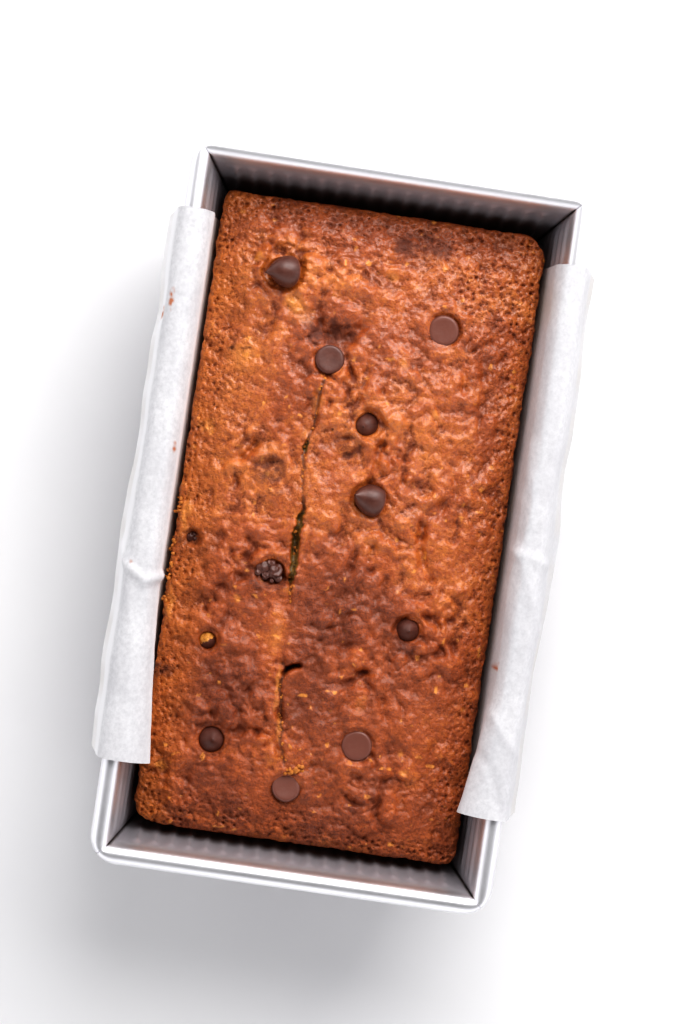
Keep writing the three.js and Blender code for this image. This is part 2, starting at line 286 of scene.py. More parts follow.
print("columns:", len(end_columns()), "across an end,", len(side_columns()), "along a side")

# %% Press the walls and the floor


def press_wall(name, end_wall, facing):
    """One wall with its ribs, its foot and its roll.

    facing is 1 or -1, along Y for an end wall and along X for a side wall.
    """
    columns = end_columns() if end_wall else side_columns()
    rows = profile.shape[1]
    wall = add_grid(name, len(columns) - 1, rows - 1)
    grid = read_points(wall) * MM
    column = np.rint((grid[:, 0] + 1) / 2 * (len(columns) - 1)).astype(int)
    row = np.rint((grid[:, 1] + 1) / 2 * (rows - 1)).astype(int)
    share = columns[column]
    inset = profile[0][row]
    z = profile[1][row]
    half = MOUTH_X if end_wall else MOUTH_Y
    from_corner = (1 - abs(share)) * half
    below = HEIGHT - z
    on_wall = ease((z - 5) / 4) * ease(from_corner / 2.5 - 0.3)
    if end_wall:
        ribs = rib_wave(share * (half - inset)) * ease((below - RIB_START) / 3) * on_wall
    else:
        ribs = rib_wave(below - RIB_START) * ease((below - RIB_START + RIB_PITCH / 2) / 2) * on_wall
    tilt = math.hypot(1, DRAFT)
    at_seam = (from_corner < SEAM / 2) * ease((z - 3) / 6)
    rolled = row >= FOOT_ROWS + WALL_ROWS
    inset = inset + ribs / tilt - 0.35 * at_seam * ~rolled
    z = z + ribs * DRAFT / tilt
    inset = np.where(rolled, -ROLL + (inset + ROLL) * (1 - 0.13 * at_seam), inset)
    z = np.where(rolled, ROLL_Z + (z - ROLL_Z) * (1 - 0.13 * at_seam), z)
    out = facing * ((MOUTH_Y if end_wall else MOUTH_X) - inset)
    along = share * (half - inset)
    x, y = (along, out) if end_wall else (out, along)
    x, y = round_tips(x, y, -inset)
    write_points(wall, np.stack([x, y, z], axis=1))
    mark_points(wall, "seam", np.exp(-(from_corner / 0.7) ** 2) * ease((below - 2) / 3 + 0.6))
    mark_points(wall, "inside", ~rolled * ease((below - 3) / 7))
    return wall


def round_tips(x, y, out):
    """Rounds the four outer tips of the roll. out is how far a point is outside the mouth."""
    radius = TIP_R * np.clip(out / (2 * ROLL), 0, 1) ** 1.5
    cx = MOUTH_X + out - radius
    cy = MOUTH_Y + out - radius
    dx = abs(x) - cx
    dy = abs(y) - cy
    reach = np.hypot(dx, dy)
    beyond = (dx > 0) & (dy > 0) & (radius > 0.1) & (reach > radius)
    pull = np.where(beyond, radius / np.maximum(reach, 1e-6), 1)
    rounded_x = np.where(beyond, np.sign(x) * (cx + dx * pull), x)
    rounded_y = np.where(beyond, np.sign(y) * (cy + dy * pull), y)
    return rounded_x, rounded_y


def press_floor(name):
    """The floor with its ribs, on the same columns as the walls so that they weld."""
    across = end_columns()
    along = side_columns()
    floor = add_grid(name, len(across) - 1, len(along) - 1)
    grid = read_points(floor) * MM
    u = across[np.rint((grid[:, 0] + 1) / 2 * (len(across) - 1)).astype(int)]
    v = along[np.rint((grid[:, 1] + 1) / 2 * (len(along) - 1)).astype(int)]
    x = u * (MOUTH_X - profile[0, 0])
    y = v * (MOUTH_Y - profile[0, 0])
    inside = ease((1 - abs(u)) * MOUTH_X / 3) * ease((1 - abs(v)) * MOUTH_Y / 3)
    z = SHEET + rib_wave(x) * inside
    write_points(floor, np.stack([x, y, z], axis=1))
    mark_points(floor, "seam", np.zeros(len(x)))
    mark_points(floor, "inside", np.ones(len(x)))
    return floor


panels = [press_wall(f"end_{side}", True, side) for side in (1, -1)]
panels += [press_wall(f"side_{side}", False, side) for side in (1, -1)]
panels.append(press_floor("floor"))
print("panels pressed:", len(panels))

# %% [markdown]
# The five panels are joined and their shared edges welded. The grids face different ways, so the faces are
# turned to agree. They should look into the tin: then Solidify can give the sheet its thickness on the far
# side, without moving the face that was pressed.

# %% Weld the tin and thicken it


def join(pieces, name):
    """Joins pieces into the first one."""
    bpy.ops.object.select_all(action="DESELECT")
    for piece in pieces:
        piece.select_set(True)
    bpy.context.view_layer.objects.active = pieces[0]
    bpy.ops.object.join()
    return named(name)


def weld(piece, gap):
    """Merges points closer than this many millimetres and makes the faces agree."""
    only(piece)
    bpy.ops.object.mode_set(mode="EDIT")
    bpy.ops.mesh.select_all(action="SELECT")
    bpy.ops.mesh.remove_doubles(threshold=gap * MM)
    bpy.ops.mesh.normals_make_consistent(inside=False)
    bpy.ops.object.mode_set(mode="OBJECT")


def facing_up(piece, height):
    """Whether the faces near this height look up."""
    low = [face for face in piece.data.polygons if face.center.z < height * MM]
    return sum(face.normal.z for face in low) > 0


def apply_modifier(piece, kind, **settings):
    """Adds a modifier with these settings and applies it."""
    only(piece)
    modifier = piece.modifiers.new(kind.lower(), kind)
    for key, value in settings.items():
        setattr(modifier, key, value)
    bpy.ops.object.modifier_apply(modifier=modifier.name)


tin = join(panels, "steel_tin")
weld(tin, 0.02)
if not facing_up(tin, 1.6):
    only(tin)
    bpy.ops.object.mode_set(mode="EDIT")
    bpy.ops.mesh.select_all(action="SELECT")
    bpy.ops.mesh.flip_normals()
    bpy.ops.object.mode_set(mode="OBJECT")
apply_modifier(tin, "SOLIDIFY", thickness=SHEET * MM, offset=-1)
smooth(tin, 40)
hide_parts("loaf_tin")
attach(tin, "root")
print("tin:", len(tin.data.polygons), "faces, lowest point", round(read_points(tin)[:, 2].min(), 3), "mm")

# %% [markdown]
# ## The parchment
#
# The sling is one strip, cut square. It lies on the floor, stands between the crust and the tin's sides, and
# folds out over the rolls. Near the front it has sprung inwards and leans over the crust. Paper keeps its
# area, so it bends in one direction at a time and creases where it has to bend both ways.
#
# It is made as a grid bent along a smooth path that changes slowly from one end to the other. The creases
# are ridges along short lines, and a fine crinkle covers all of it.

# %% The path across the tin
PAPER_AIR = 0.4
PATH_STEPS = 9
FLAP_DROP = 30.0


def wall_x(z):
    """How far out the side wall's inner face is at a height."""
    return MOUTH_X - DRAFT * (ROLL_Z - z)


def paper_lift(side, y):
    """How far the paper has sprung in from the wall above the crust."""
    start = -26 if side < 0 else -42
    most = 7.6 if side < 0 else 7.0
    resting = 2.0 if side < 0 else 0.8
    along = np.clip((start - y) / (start - paper_low[1]), 0, 1)
    return resting + (most - resting) * along ** 1.25


def paper_stops(side, y):
    """The places that one half of the strip passes, from the floor's middle to the free edge."""
    away = paper_lift(side, y)
    still = np.zeros_like(y)
    floor_z = SHEET + RIB_HEIGHT + PAPER_AIR
    room = RIB_HEIGHT + PAPER_AIR
    over = ROLL + PAPER_AIR
    roll_x = MOUTH_X + ROLL
    sway = 1.1 * swells(y, still + 50 * side, 34, 5) + 0.5 * swells(y, still + 9 * side, 13, 6)
    foot = wall_x(floor_z) - room
    flare = still + 0.8
    if side > 0:
        flare = 2.6 + 1.4 * spot(y, still, (4, 0), 14, 1) - 1.2 * spot(y, still, (-32, 0), 16, 1)
    stops = [
        (still, still + floor_z),
        (still + foot * 0.5, still + floor_z),
        (still + foot - 4, still + floor_z),
        (still + foot - 0.6, still + floor_z + 0.8),
        (still + wall_x(floor_z + 5) - room, still + floor_z + 5),
        (still + wall_x(25) - room, still + 25),
        (still + wall_x(SHOULDER_Z - 4) - room, still + SHOULDER_Z - 4),
        (still + wall_x(SHOULDER_Z + 3) - room - 0.04 * away, still + SHOULDER_Z + 3),
        (wall_x(60) - room - 0.68 * away, still + 60),
        (wall_x(65.5) - room - 0.95 * away, still + 66),
        (roll_x - over * 0.75 - 0.62 * away, ROLL_Z + over * 0.78 + 0.14 * away),
        (roll_x - 0.2 * away, ROLL_Z + over + 0.26 * away),
        (roll_x + over * 0.85 + 0.1 * sway, ROLL_Z + over * 0.72 + 0.16 * away),
        (roll_x + over + 1.5 + 0.5 * sway, still + ROLL_Z - 2.5),
        (roll_x + over + 2.6 + flare * 0.45 + 0.9 * sway, still + ROLL_Z - FLAP_DROP * 0.5),
        (roll_x + over + 4.2 + flare + 1.1 * sway, still + ROLL_Z - FLAP_DROP),
    ]
    return np.array([[side * x, z] for x, z in stops])


def smooth_path(stops, steps):
    """A smooth path through the stops, with this many points from each stop to the next."""
    padded = np.concatenate([2 * stops[:1] - stops[1:2], stops, 2 * stops[-1:] - stops[-2:-1]])
    path = []
    for a, b, c, d in zip(padded, padded[1:], padded[2:], padded[3:]):
        bend = 2 * a - 5 * b + 4 * c - d
        twist = 3 * b - a - 3 * c + d
        for t in np.arange(steps) / steps:
            path.append(0.5 * (2 * b + (c - a) * t + bend * t**2 + twist * t**3))
    path.append(stops[-1])
    return np.array(path)


print("lean at the front end:", float(paper_lift(-1, paper_low[1])), "mm")

# %% Bend the strip
PAPER_ROWS = 176
CREASES = (
    (((-68, -10), (-64.5, -21), (-58, -25.5), (-50, -22)), 1.3, 2.2),
    (((-64, -24), (-60, -40), (-58, -60)), 0.35, 3.0),
    (((-60, 60), (-57, 30), (-59, 4)), 0.3, 4.0),
    (((70, -4), (56, 0), (52, 4)), 0.55, 3.0),
    (((56, 0), (54, -12), (52.5, -30)), 0.4, 2.0),
    (((56, 0), (61, -12), (66, -24)), 0.5, 3.0),
    (((56, 0), (58, 12), (57, 24)), 0.35, 2.6),
    (((53, 15), (56, 20), (55, 34)), 0.4, 2.2),
    (((55, -51), (60, -58), (66, -64)), 0.5, 2.6),
    (((51, -62), (57, -68), (62, -80)), -0.4, 2.4),
)


def bend_paper():
    """The whole strip: both halves of the path, bent along the loaf."""
    rows = np.linspace(paper_high[1], paper_low[1], PAPER_ROWS + 1)
    right = smooth_path(paper_stops(1, rows), PATH_STEPS)
    left = smooth_path(paper_stops(-1, rows), PATH_STEPS)
    section = np.concatenate([left[::-1], right[1:]])
    strip = add_grid("parchment", len(section) - 1, PAPER_ROWS)
    grid = read_points(strip) * MM
    i = np.rint((grid[:, 0] + 1) / 2 * (len(section) - 1)).astype(int)
    j = np.rint((grid[:, 1] + 1) / 2 * PAPER_ROWS).astype(int)
    x = section[i, 0, j]
    z = section[i, 1, j]
    y = rows[j]
    along = np.gradient(section, axis=0)[i, :, j]
    along /= np.linalg.norm(along, axis=1)[:, None]
    out = np.stack([-along[:, 1], along[:, 0]], axis=1)
    path_length = np.concatenate([[0], np.cumsum(np.linalg.norm(np.diff(section[:, :, 0], axis=0), axis=1))])
    s = path_length[i]
    free = ease((z - SHOULDER_Z) / 8)
    crinkle = 0.10 * swells(s, y, 7, 21) + 0.05 * swells(s, y, 3, 22)
    push = crinkle * free
    for line, height, width in CREASES:
        push += height * np.clip(1 - away_from(x, y, line) / width, 0, 1) ** 1.3 * free * (z > 58)
    x = x + out[:, 0] * push
    z = z + out[:, 1] * push
    slant = 0.012 * abs(x) * np.where(x < 0, 0.6, -1.6) * (y < 0)
    write_points(strip, np.stack([x, y + slant * ease((-60 - y) / 20), z], axis=1))
    print("strip:", round(path_length[-1]), "mm long,", round(rows[0] - rows[-1]), "mm wide")
    return strip, path_length[-1]


parchment, PAPER_LENGTH = bend_paper()

# %% [markdown]
# Brown marks show where butter and batter touched the paper. They are places, so each is stored on the
# points as a soft oval. Grease is stored low down beside the crust. The left half, below the roll, is stored
# too and painted whiter: that is painted light, where light falls on that side and shines through the paper.
# The paper's own thickness is a tenth of a millimetre.

# %% Stain the paper and thicken it
PAPER_THICK = 0.1
BROWN_MARKS = (((-62.5, 62), 0.9, 3.2), ((-65, 58), 0.7, 2.0), ((-55, 17), 0.6, 1.6), ((54.5, -36), 0.7, 1.4))


def stain_paper(strip):
    """Marks the grease along the crust, the painted light on the left half, and the brown spots."""
    x, y, z = read_points(strip).T
    low = ease((57 - z) / 8) * (0.5 + 0.5 * swells(x * 0.3, y, 9, 31))
    damp = low + 0.9 * spot(x, y, (52, 79), 4, 9) + 0.7 * spot(x, y, (51, -20), 3, 12)
    damp = damp + 0.6 * spot(x, y, (-50, 84), 4, 6)
    brown = sum(spot(x, y, at, across, along) for at, across, along in BROWN_MARKS)
    brown = brown + 0.5 * spot(x, y, (-63, -20), 0.8, 1.0) + 0.7 * spot(x, y, (52.5, 0), 0.6, 2.6)
    mark_points(strip, "grease", damp)
    # The left half below the roll is painted lighter, as painted light.
    mark_points(strip, "painted_light_left", (x < 0) * ease((68.5 - z) / 4))
    mark_points(strip, "brown_mark", brown * (0.35 + 0.65 * (swells(x, y, 1.4, 33) > 0.05)) * (z > 50))


stain_paper(parchment)
weld(parchment, 0.001)
apply_modifier(parchment, "SOLIDIFY", thickness=PAPER_THICK * MM, offset=0)
smooth(parchment, 60)
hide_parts("parchment_sling")
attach(parchment, "root")
print("parchment:", len(parchment.data.polygons), "faces")

# %% [markdown]
# ## The loaf
#
# The crust of banana bread is thin and shiny. It rises in a low dome, is pocked near the edges, where the
# batter dried first, and wrinkles in the middle, where it was still soft when it set. A long split opened
# left of the middle when the inside rose, and its right side stands a little higher.
#
# The shape starts as a fine grid for the top. Its square corners are rounded, its points are lifted to the
# dome, and then its edge is extruded down in steps to make the sides, as one would by hand.

# %% The plain dome


def dome_height(x, y):
    """How high the crust stands above the shoulder, before any detail."""
    u = np.clip(abs(x) / LOAF_X, 0, 1)
    v = np.clip(abs(y - LOAF_MID_Y) / LOAF_Y, 0, 1)
    swell = 0.7 * np.sin(x / 13 + 0.6) * np.sin(y / 19 - 0.4) + 0.5 * np.sin(y / 31 + x / 23)
    return (1 - u**2.8) ** 0.75 * (1 - v**7) ** 0.6 * (CREST - EDGE_LIP + swell)


def corner_radius(x, y):
    """The radius of the loaf's corner that is nearest: each one came out of the tin differently."""
    return np.where(x < 0, np.where(y > 0, 4.0, 8.0), np.where(y > 0, 8.0, 5.0))


def edge_distance(x, y):
    """How far inside the loaf's rounded outline each point is."""
    radius = corner_radius(x, y)
    qx = abs(x) - (LOAF_X - radius)
    qy = abs(y - LOAF_MID_Y) - (LOAF_Y - radius)
    corner = np.hypot(np.maximum(qx, 0), np.maximum(qy, 0))
    return radius - corner - np.minimum(np.maximum(qx, qy), 0)


print("dome in the middle:", float(dome_height(np.array([0.0]), np.array([0.0]))[0]), "mm above the shoulder")

# %% [markdown]
# The crust's relief is a sum of simple parts, each with its own size: slow lumps, folds a few millimetres
# wide, ragged blisters, close cobbles, finer wrinkles, and pores near the edges. Folding the noise at zero
# gives creased valleys between rounded tops, which is how a skin wrinkles when what is under it shrinks.
# Steepening the noise instead gives blisters with flat tops.

# %% Lumps, folds and pits


def folded(x, y, size, seed):
    """Rounded tops with creased valleys between them, from 0 in a valley to about 1."""
    bend_x = x + 0.35 * size * swells(x, y, size * 1.7, seed + 50)
    bend_y = y + 0.35 * size * swells(x, y, size * 1.7, seed + 51)
    return np.clip(abs(swells(bend_x, bend_y, size, seed)) * 1.6, 0, 1) ** 0.75


def cobbled(x, y, size, seed):
    """Small domes pressed close together, from about 0 in the gaps to 1 on the tops."""
    bend_x = x + 0.4 * size * swells(x, y, size * 1.3, seed + 50)
    bend_y = y + 0.4 * size * swells(x, y, size * 1.3, seed + 51)
    return np.clip(1 - 1.7 * seeds(bend_x, bend_y, size, seed) ** 2, -0.2, 1)


def blistered(x, y, size, seed):
    """Flat-topped blisters with steep ragged sides, from 0 between them to 1 on top."""
    bend_x = x + 0.3 * size * swells(x, y, size * 0.6, seed + 50)
    bend_y = y + 0.3 * size * swells(x, y, size * 0.6, seed + 51)
    return ease(0.5 + 1.4 * swells(bend_x, bend_y, size, seed))


def porous_share(x, y, edge):
    """Where the crust is full of pores: along its edges, most of all left and top right."""
    band = 13 + 6 * swells(x, y, 21, 16) + 4 * (x < 0)
    return np.clip(ease(1 - (edge - 2) / band) + 0.9 * spot(x, y, (34, 78), 17, 22), 0, 1)


FOLDS = (8.6, 4.6)
BLISTERS = (6.2, 3.3)
COBBLES = (4.4, 2.4)
WRINKLES = 1.9
GRIT = 1.15
PITS = (2.5, 1.6)


def fine_relief(x, y, edge):
    """Folds, wrinkles and pores: everything up to a few millimetres wide."""
    porous = porous_share(x, y, edge)
    folding = np.clip(0.8 + 0.75 * swells(x, y, 24, 17), 0.25, 1.3)
    cobbling = np.clip(0.7 + 0.9 * swells(x, y, 19, 19), 0.15, 1.3)
    folds = 1.5 * (folded(x, y, FOLDS[0], 3) - 0.45) + 0.8 * (folded(x * 0.9, y * 1.15, FOLDS[1], 4) - 0.45)
    folds = folds + 1.15 * (blistered(x, y, BLISTERS[0], 22) - 0.5)
    folds = folds + 0.65 * (blistered(x, y, BLISTERS[1], 23) - 0.5)
    cobbles = 0.45 * (cobbled(x, y, COBBLES[0], 5) - 0.6) + 0.4 * (cobbled(x, y, COBBLES[1], 6) - 0.6)
    wrinkles = 0.28 * (folded(x, y, WRINKLES, 7) - 0.5) + 0.24 * swells(x, y, GRIT, 20)
    crowd = np.clip(0.75 + 0.6 * swells(x, y, 8, 8), 0, 1)
    pits = 1.1 * ease(1.3 - 3.8 * seeds(x, y, PITS[0], 9)) + 0.6 * ease(1.3 - 3.8 * seeds(x, y, PITS[1], 10))
    return folding * folds * (1 - 0.55 * porous) + cobbling * cobbles + wrinkles - pits * porous * crowd


def skin_relief(x, y, edge):
    """All the small ups and downs of the crust."""
    lumps = 1.1 * swells(x, y, 17, 1) + 0.8 * swells(x, y, 9, 2)
    return lumps * (0.4 + 0.6 * ease((edge - 3) / 14)) + fine_relief(x, y, edge)


print("widths in mm: folds", FOLDS, "blisters", BLISTERS, "cobbles", COBBLES, "wrinkles", WRINKLES)

# %% [markdown]
# The split is a line of a few points. A point's side of the line decides whether it is on the raised side,
# and its distance decides how deep it lies. The split is widest a little below the middle, where the crumb
# shows. Other, softer furrows are lines with a width and a depth.

# %% The split and the furrows
SPLIT = (
    (-11.6, 47), (-12.6, 41), (-12.9, 34), (-13.0, 30), (-14.6, 24.5), (-14.8, 20), (-13.6, 10), (-12.4, 4),
    (-13.1, 0), (-13.5, -6), (-12.9, -12), (-13.1, -19), (-12.1, -26), (-12.0, -35), (-12.6, -42),
    (-10.4, -47), (-11.6, -51), (-10.5, -57), (-9.6, -63), (-8.8, -70), (-6.2, -77),
)
SPLIT_WIDTHS = (
    (-78, 0.08), (-64, 0.1), (-54, 0.1), (-49, 0.28), (-45.5, 0.15), (-44, 0.0), (-23, 0.0), (-18, 0.7),
    (-13, 0.95), (-6, 1.0), (0, 0.75), (4, 0.35), (8, 0.06), (20, 0.1), (22.5, 0.6), (24.5, 0.5),
    (27, 0.08), (50, 0.12),
)
FURROWS = (
    (((31, 10), (25.6, 4), (25.4, -2), (27.8, -9), (31, -12)), 1.5, 1.5),
    (((-1.5, 43), (1.5, 38.5), (3.5, 36)), 1.1, 1.1),
    (((8.6, 27), (8.2, 21), (6.4, 13.5)), 1.2, 1.0),
    (((-30, 22), (-33, 17.5), (-39.5, 15.5)), 1.3, 1.2),
    (((-25, -69.5), (-18, -67), (-11.5, -68.5), (-8.6, -74)), 1.1, 1.1),
    (((20, -70), (22.6, -74), (25, -77)), 0.9, 0.8),
    (((-19, 68), (-14.5, 60), (-8, 58), (-2.5, 63)), 2.0, 1.3),
    (((31.5, 56), (32, 47)), 1.1, 0.8),
    (((7, 60), (13, 58), (18, 62)), 1.4, 0.7),
    (((-6.6, -45.2), (-8.2, -45.5), (-9.8, -46.6)), 0.62, 6.5), (((-9.8, -46.6), (-11.2, -48.4)), 0.5, 3.0),
    (((-17, -18.6), (-13.4, -19.4)), 1.2, 2.0),
    (((-3.5, -79), (4, -75), (8, -76.4)), 0.8, 0.6),
    (((-36, 66), (-31, 58), (-33, 50)), 1.6, 0.6),
    (((36, 30), (33, 22), (34, 14)), 1.4, 0.6),
    (((14, 30), (12, 22), (14, 14)), 1.3, 0.6),
    (((22, -40), (20, -50), (23, -58)), 1.3, 0.6),
    (((-26, -24), (-30, -32), (-27, -38)), 1.4, 0.6),
    (((4, -30), (8, -40), (5, -50)), 1.4, 0.55),
    (((40, 66), (36, 60), (38, 52)), 1.3, 0.6), (((21.6, -30), (22.2, -27.4), (24.6, -25.6)), 0.6, 1.5),
    (((-25.6, -69), (-24.4, -66)), 0.5, 1.0),
)


def split_gap(x, y):
    """How far each point is from the split's ragged middle line."""
    ragged = 0.7 * swells(x * 0, y, 2.6, 12) + 0.4 * swells(x * 0, y, 1.0, 13)
    return away_from(x + ragged, y, SPLIT)


def split_width(y):
    """Half the split's width at a place along it."""
    places, widths = np.array(SPLIT_WIDTHS).T
    return np.interp(y, places, widths)


def split_relief(x, y):
    """The split itself and the step across it."""
    line = np.array(SPLIT)[::-1]
    side = x - np.interp(y, line[:, 1], line[:, 0])
    gap = split_gap(x, y)
    width = split_width(y)
    rise = 1.3 * ease(side / 1.0) * np.exp(-np.clip(side, 0, 99) / 14)
    fall = 0.5 * ease(-side / 2) * np.exp(-np.clip(-side, 0, 99) / 9)
    step = (rise - fall) * ease((y + 84) / 30) * ease((52 - y) / 20)
    trench = 3.4 * ease(1.7 - gap / np.maximum(width, 0.34)) * width**0.8
    slump = 0.45 * np.exp(-((gap / 2.0) ** 2))
    return step - (trench + slump) * ease((48 - y) / 4) * ease((y + 80) / 5)


def furrow_relief(x, y):
    """The softer furrows: each sinks along its line and swells a little beside it."""
    total = np.zeros_like(x)
    for line, width, depth in FURROWS:
        gap = away_from(x, y, line)
        total -= depth * np.exp(-((gap / width) ** 2))
        total += 0.35 * min(depth, 1.2) * np.exp(-(((gap - 2.6 * width) / (1.4 * width)) ** 2))
    return total


print("split:", len(SPLIT), "points, furrows:", len(FURROWS))

# %% [markdown]
# Each chocolate drop made its own dent. The crust is pushed down under it and creased round it, and its
# small folds are calmer there. The places are the middles of the solid drops.

# %% Where the drops are


def drop_places():
    """The middle and the half width of each solid drop, from the frame."""
    places = {}
    for number in range(1, 13):
        name = f"chocolate_drop_{number:02d}"
        low, high = box_mm(name)
        places[name] = ((low + high) / 2, (high - low) / 2)
    return places


DROP_PLACES = drop_places()


def drop_dents(x, y):
    """How the crust gives way under and round the drops."""
    total = np.zeros_like(x)
    for middle, half in DROP_PLACES.values():
        reach = np.hypot((x - middle[0]) / half[0], (y - middle[1]) / half[1])
        total -= 2.6 * ease((0.95 - reach) / 0.25)
        total -= 0.75 * np.exp(-(((reach - 1.02) / 0.14) ** 2))
        total += 0.35 * np.exp(-(((reach - 1.4) / 0.25) ** 2))
    return total


def calm_by_drops(x, y):
    """Where the crust is smoothed by a drop pressing on it: 0 under a drop, 1 away from all of them."""
    calm = np.ones_like(x)
    for middle, half in DROP_PLACES.values():
        reach = np.hypot((x - middle[0]) / half[0], (y - middle[1]) / half[1])
        calm = calm * ease((reach - 0.8) / 0.6)
    return calm


print("drops:", len(DROP_PLACES))

# %% Shape the crust
TOP_ACROSS = 206
TOP_ALONG = 396
EDGE_STEPS = (1.5, 4, 9, 18, 30, 42)


def even_out(u):
    """Draws the rows of the grid closer together near the edge."""
    return u * 1.18 - 0.18 * u**3


def round_corners(u, v):
    """Bends the grid's square corners into round ones."""
    x = even_out(u) * LOAF_X
    y = even_out(v) * LOAF_Y
    radius = corner_radius(x, y)
    a = np.clip((abs(x) - LOAF_X + radius) / radius, 0, 1)
    b = np.clip((abs(y) - LOAF_Y + radius) / radius, 0, 1)
    pull_x = radius * a * (1 - np.sqrt(1 - b * b / 2))
    pull_y = radius * b * (1 - np.sqrt(1 - a * a / 2))
    return np.sign(x) * (abs(x) - pull_x), np.sign(y) * (abs(y) - pull_y) + LOAF_MID_Y


def crust_top(x, y):
    """The finished height of the crust."""
    edge = edge_distance(x, y)
    turned_over = np.sqrt(1 - (1 - np.clip(edge / 2.4, 0, 1)) ** 2)
    skin = skin_relief(x, y, edge) * (0.25 + 0.75 * calm_by_drops(x, y))
    relief = skin + furrow_relief(x, y) + split_relief(x, y) + drop_dents(x, y)
    return SHOULDER_Z + EDGE_LIP * turned_over + dome_height(x, y) + relief * ease(0.4 + edge / 1.3)


loaf = add_grid("banana_bread", TOP_ACROSS, TOP_ALONG)
top = read_points(loaf) * MM
top_x, top_y = round_corners(top[:, 0], top[:, 1])
ragged_edge = 0.5 * swells(top_x, top_y, 9, 14) + 0.4 * swells(top_x, top_y, 3.4, 15)
ragged_edge = ragged_edge + 0.35 * swells(top_x, top_y, 1.7, 18)
near_edge = ease(1 - edge_distance(top_x, top_y) / 6)
pull_in = (0.35 + ragged_edge) * near_edge
top_x = top_x * (1 - pull_in / LOAF_X)
top_y = (top_y - LOAF_MID_Y) * (1 - pull_in / LOAF_Y) + LOAF_MID_Y
top_z = crust_top(top_x, top_y)
write_points(loaf, np.stack([top_x, top_y, top_z], axis=1))
print("crust:", len(top_x), "points, from", round(top_z.min(), 1), "to", round(top_z.max(), 1), "mm high")

# %% [markdown]
# The sides follow the tin's lean. The grid's open edge is selected, extruded down a step, and drawn in by
# what the wall's lean takes away. The last edge is filled to close the underside.

# %% Extrude the sides


def select_open_edge():
    """In edit mode, selects the edges that have a face on one side only."""
    bpy.ops.mesh.select_mode(type="EDGE")
    bpy.ops.mesh.select_all(action="DESELECT")
    bpy.ops.mesh.select_non_manifold(
        extend=False, use_wire=False, use_boundary=True, use_multi_face=False, use_non_contiguous=False
    )


def level_edge(piece, z):
    """Puts the selected ring of points at one height, in object mode."""
    points = read_points(piece)
    ring = np.array([vertex.select for vertex in piece.data.vertices])
    points[ring, 2] = z
    write_points(piece, points)


only(loaf)
base_z = loaf_low[2]
before = 0.0
for step in EDGE_STEPS:
    bpy.ops.object.mode_set(mode="EDIT")
    select_open_edge()
    bpy.ops.mesh.extrude_region_move(TRANSFORM_OT_translate={"value": (0, 0, -0.5 * MM)})
    draw_in = DRAFT * (step - before)
    bpy.ops.transform.resize(
        value=(1 - draw_in / LOAF_X, 1 - draw_in / LOAF_Y, 1), center_override=(0, LOAF_MID_Y * MM, 0)
    )
    bpy.ops.object.mode_set(mode="OBJECT")
    level_edge(loaf, SHOULDER_Z - step)
    before = step
bpy.ops.object.mode_set(mode="EDIT")
select_open_edge()
bpy.ops.mesh.extrude_region_move(TRANSFORM_OT_translate={"value": (0, 0, -1 * MM)})
bpy.ops.transform.resize(value=(0.94, 0.97, 1), center_override=(0, LOAF_MID_Y * MM, 0))
bpy.ops.object.mode_set(mode="OBJECT")
level_edge(loaf, base_z)
bpy.ops.object.mode_set(mode="EDIT")
select_open_edge()
bpy.ops.mesh.edge_face_add()
bpy.ops.mesh.select_all(action="SELECT")
bpy.ops.mesh.normals_make_consistent(inside=False)
bpy.ops.mesh.quads_convert_to_tris()
bpy.ops.object.mode_set(mode="OBJECT")
print("loaf:", len(loaf.data.polygons), "triangles")

# %% [markdown]
# ## Where the crust is dark, golden or torn
#
# The crust isn't one colour. It is redder and darker where it stood proud or where chocolate melted under
# it, golden along the left side, and pale yellow inside the split. Lumps of batter show as gold specks. Part
# of the darkening is painted shade: a band of painted shadow from the tin's far wall along the far end, a
# broad darkening of the near end that is partly browning and partly painted shade, and a painted dark line
# of shade along the split. Each of these is stored on the points, so that the material only has to mix
# colours by name. Two more amounts say how glossy the crust is, most of all at its far end, and how deep
# its small hollows are. The hollows are darkened by that amount, partly as the crust's own colour and partly
# as painted shade.

# %% Mark the crust
DARK_SPOTS = (
    ((-24.5, 15), 4.5, 3.8, 1.0), ((13, 91.5), 8, 4, 0.9), ((7, 89), 3, 3, 0.6), ((-12, 60.5), 7, 3.6, 0.9),
    ((-1, 25.5), 4, 3, 0.75), ((-1.5, 22.5), 1.2, 1.2, 0.9), ((-20, -19.6), 5.5, 3.4, 0.85),
    ((26, -34.6), 3.2, 1.8, 0.7), ((-49, -53), 2.6, 2.2, 0.9), ((-42, 51.6), 0.5, 2.2, 0.9),
    ((-37.5, 51), 1.6, 0.5, 0.8), ((-22, 7.5), 2.6, 1.0, 0.7), ((34, 61.5), 4, 2, 0.5),
    ((-46, -11), 3.4, 2.6, 0.7),
    ((33, 16), 2.4, 1.6, 0.4), ((-17, 58), 2, 3, 0.8), ((-44, -82), 2, 1, 0.5), ((-38, -96), 5, 2, 0.5),
)
# Broad darkening. The band along the far end, at y 96, is painted shadow of the tin's far wall. The broad
# patch over the near end, at y -82, is partly browning and partly painted shade, where less light reaches the
# front of the loaf.
BROAD_BROWN_AND_SHADE = (
    ((-27, -55), 12, 13, 1.0), ((-2, -30), 11, 18, 0.85), ((0, -58), 9, 10, 0.6), ((-24, -22), 13, 12, 0.55),
    ((25, -50), 20, 26, 0.35), ((-4, 96), 55, 9, 0.6), ((0, -92), 50, 12, 0.5), ((14, -24), 16, 12, 0.5),
    ((-12, 62), 11, 8, 0.5), ((20, 70), 30, 24, 0.15), ((-20, 40), 10, 16, 0.35), ((40, 40), 10, 30, 0.25),
    ((0, -82), 90, 42, 0.32), ((-44, -34), 16, 50, 0.16), ((46, -40), 14, 60, 0.16),
)
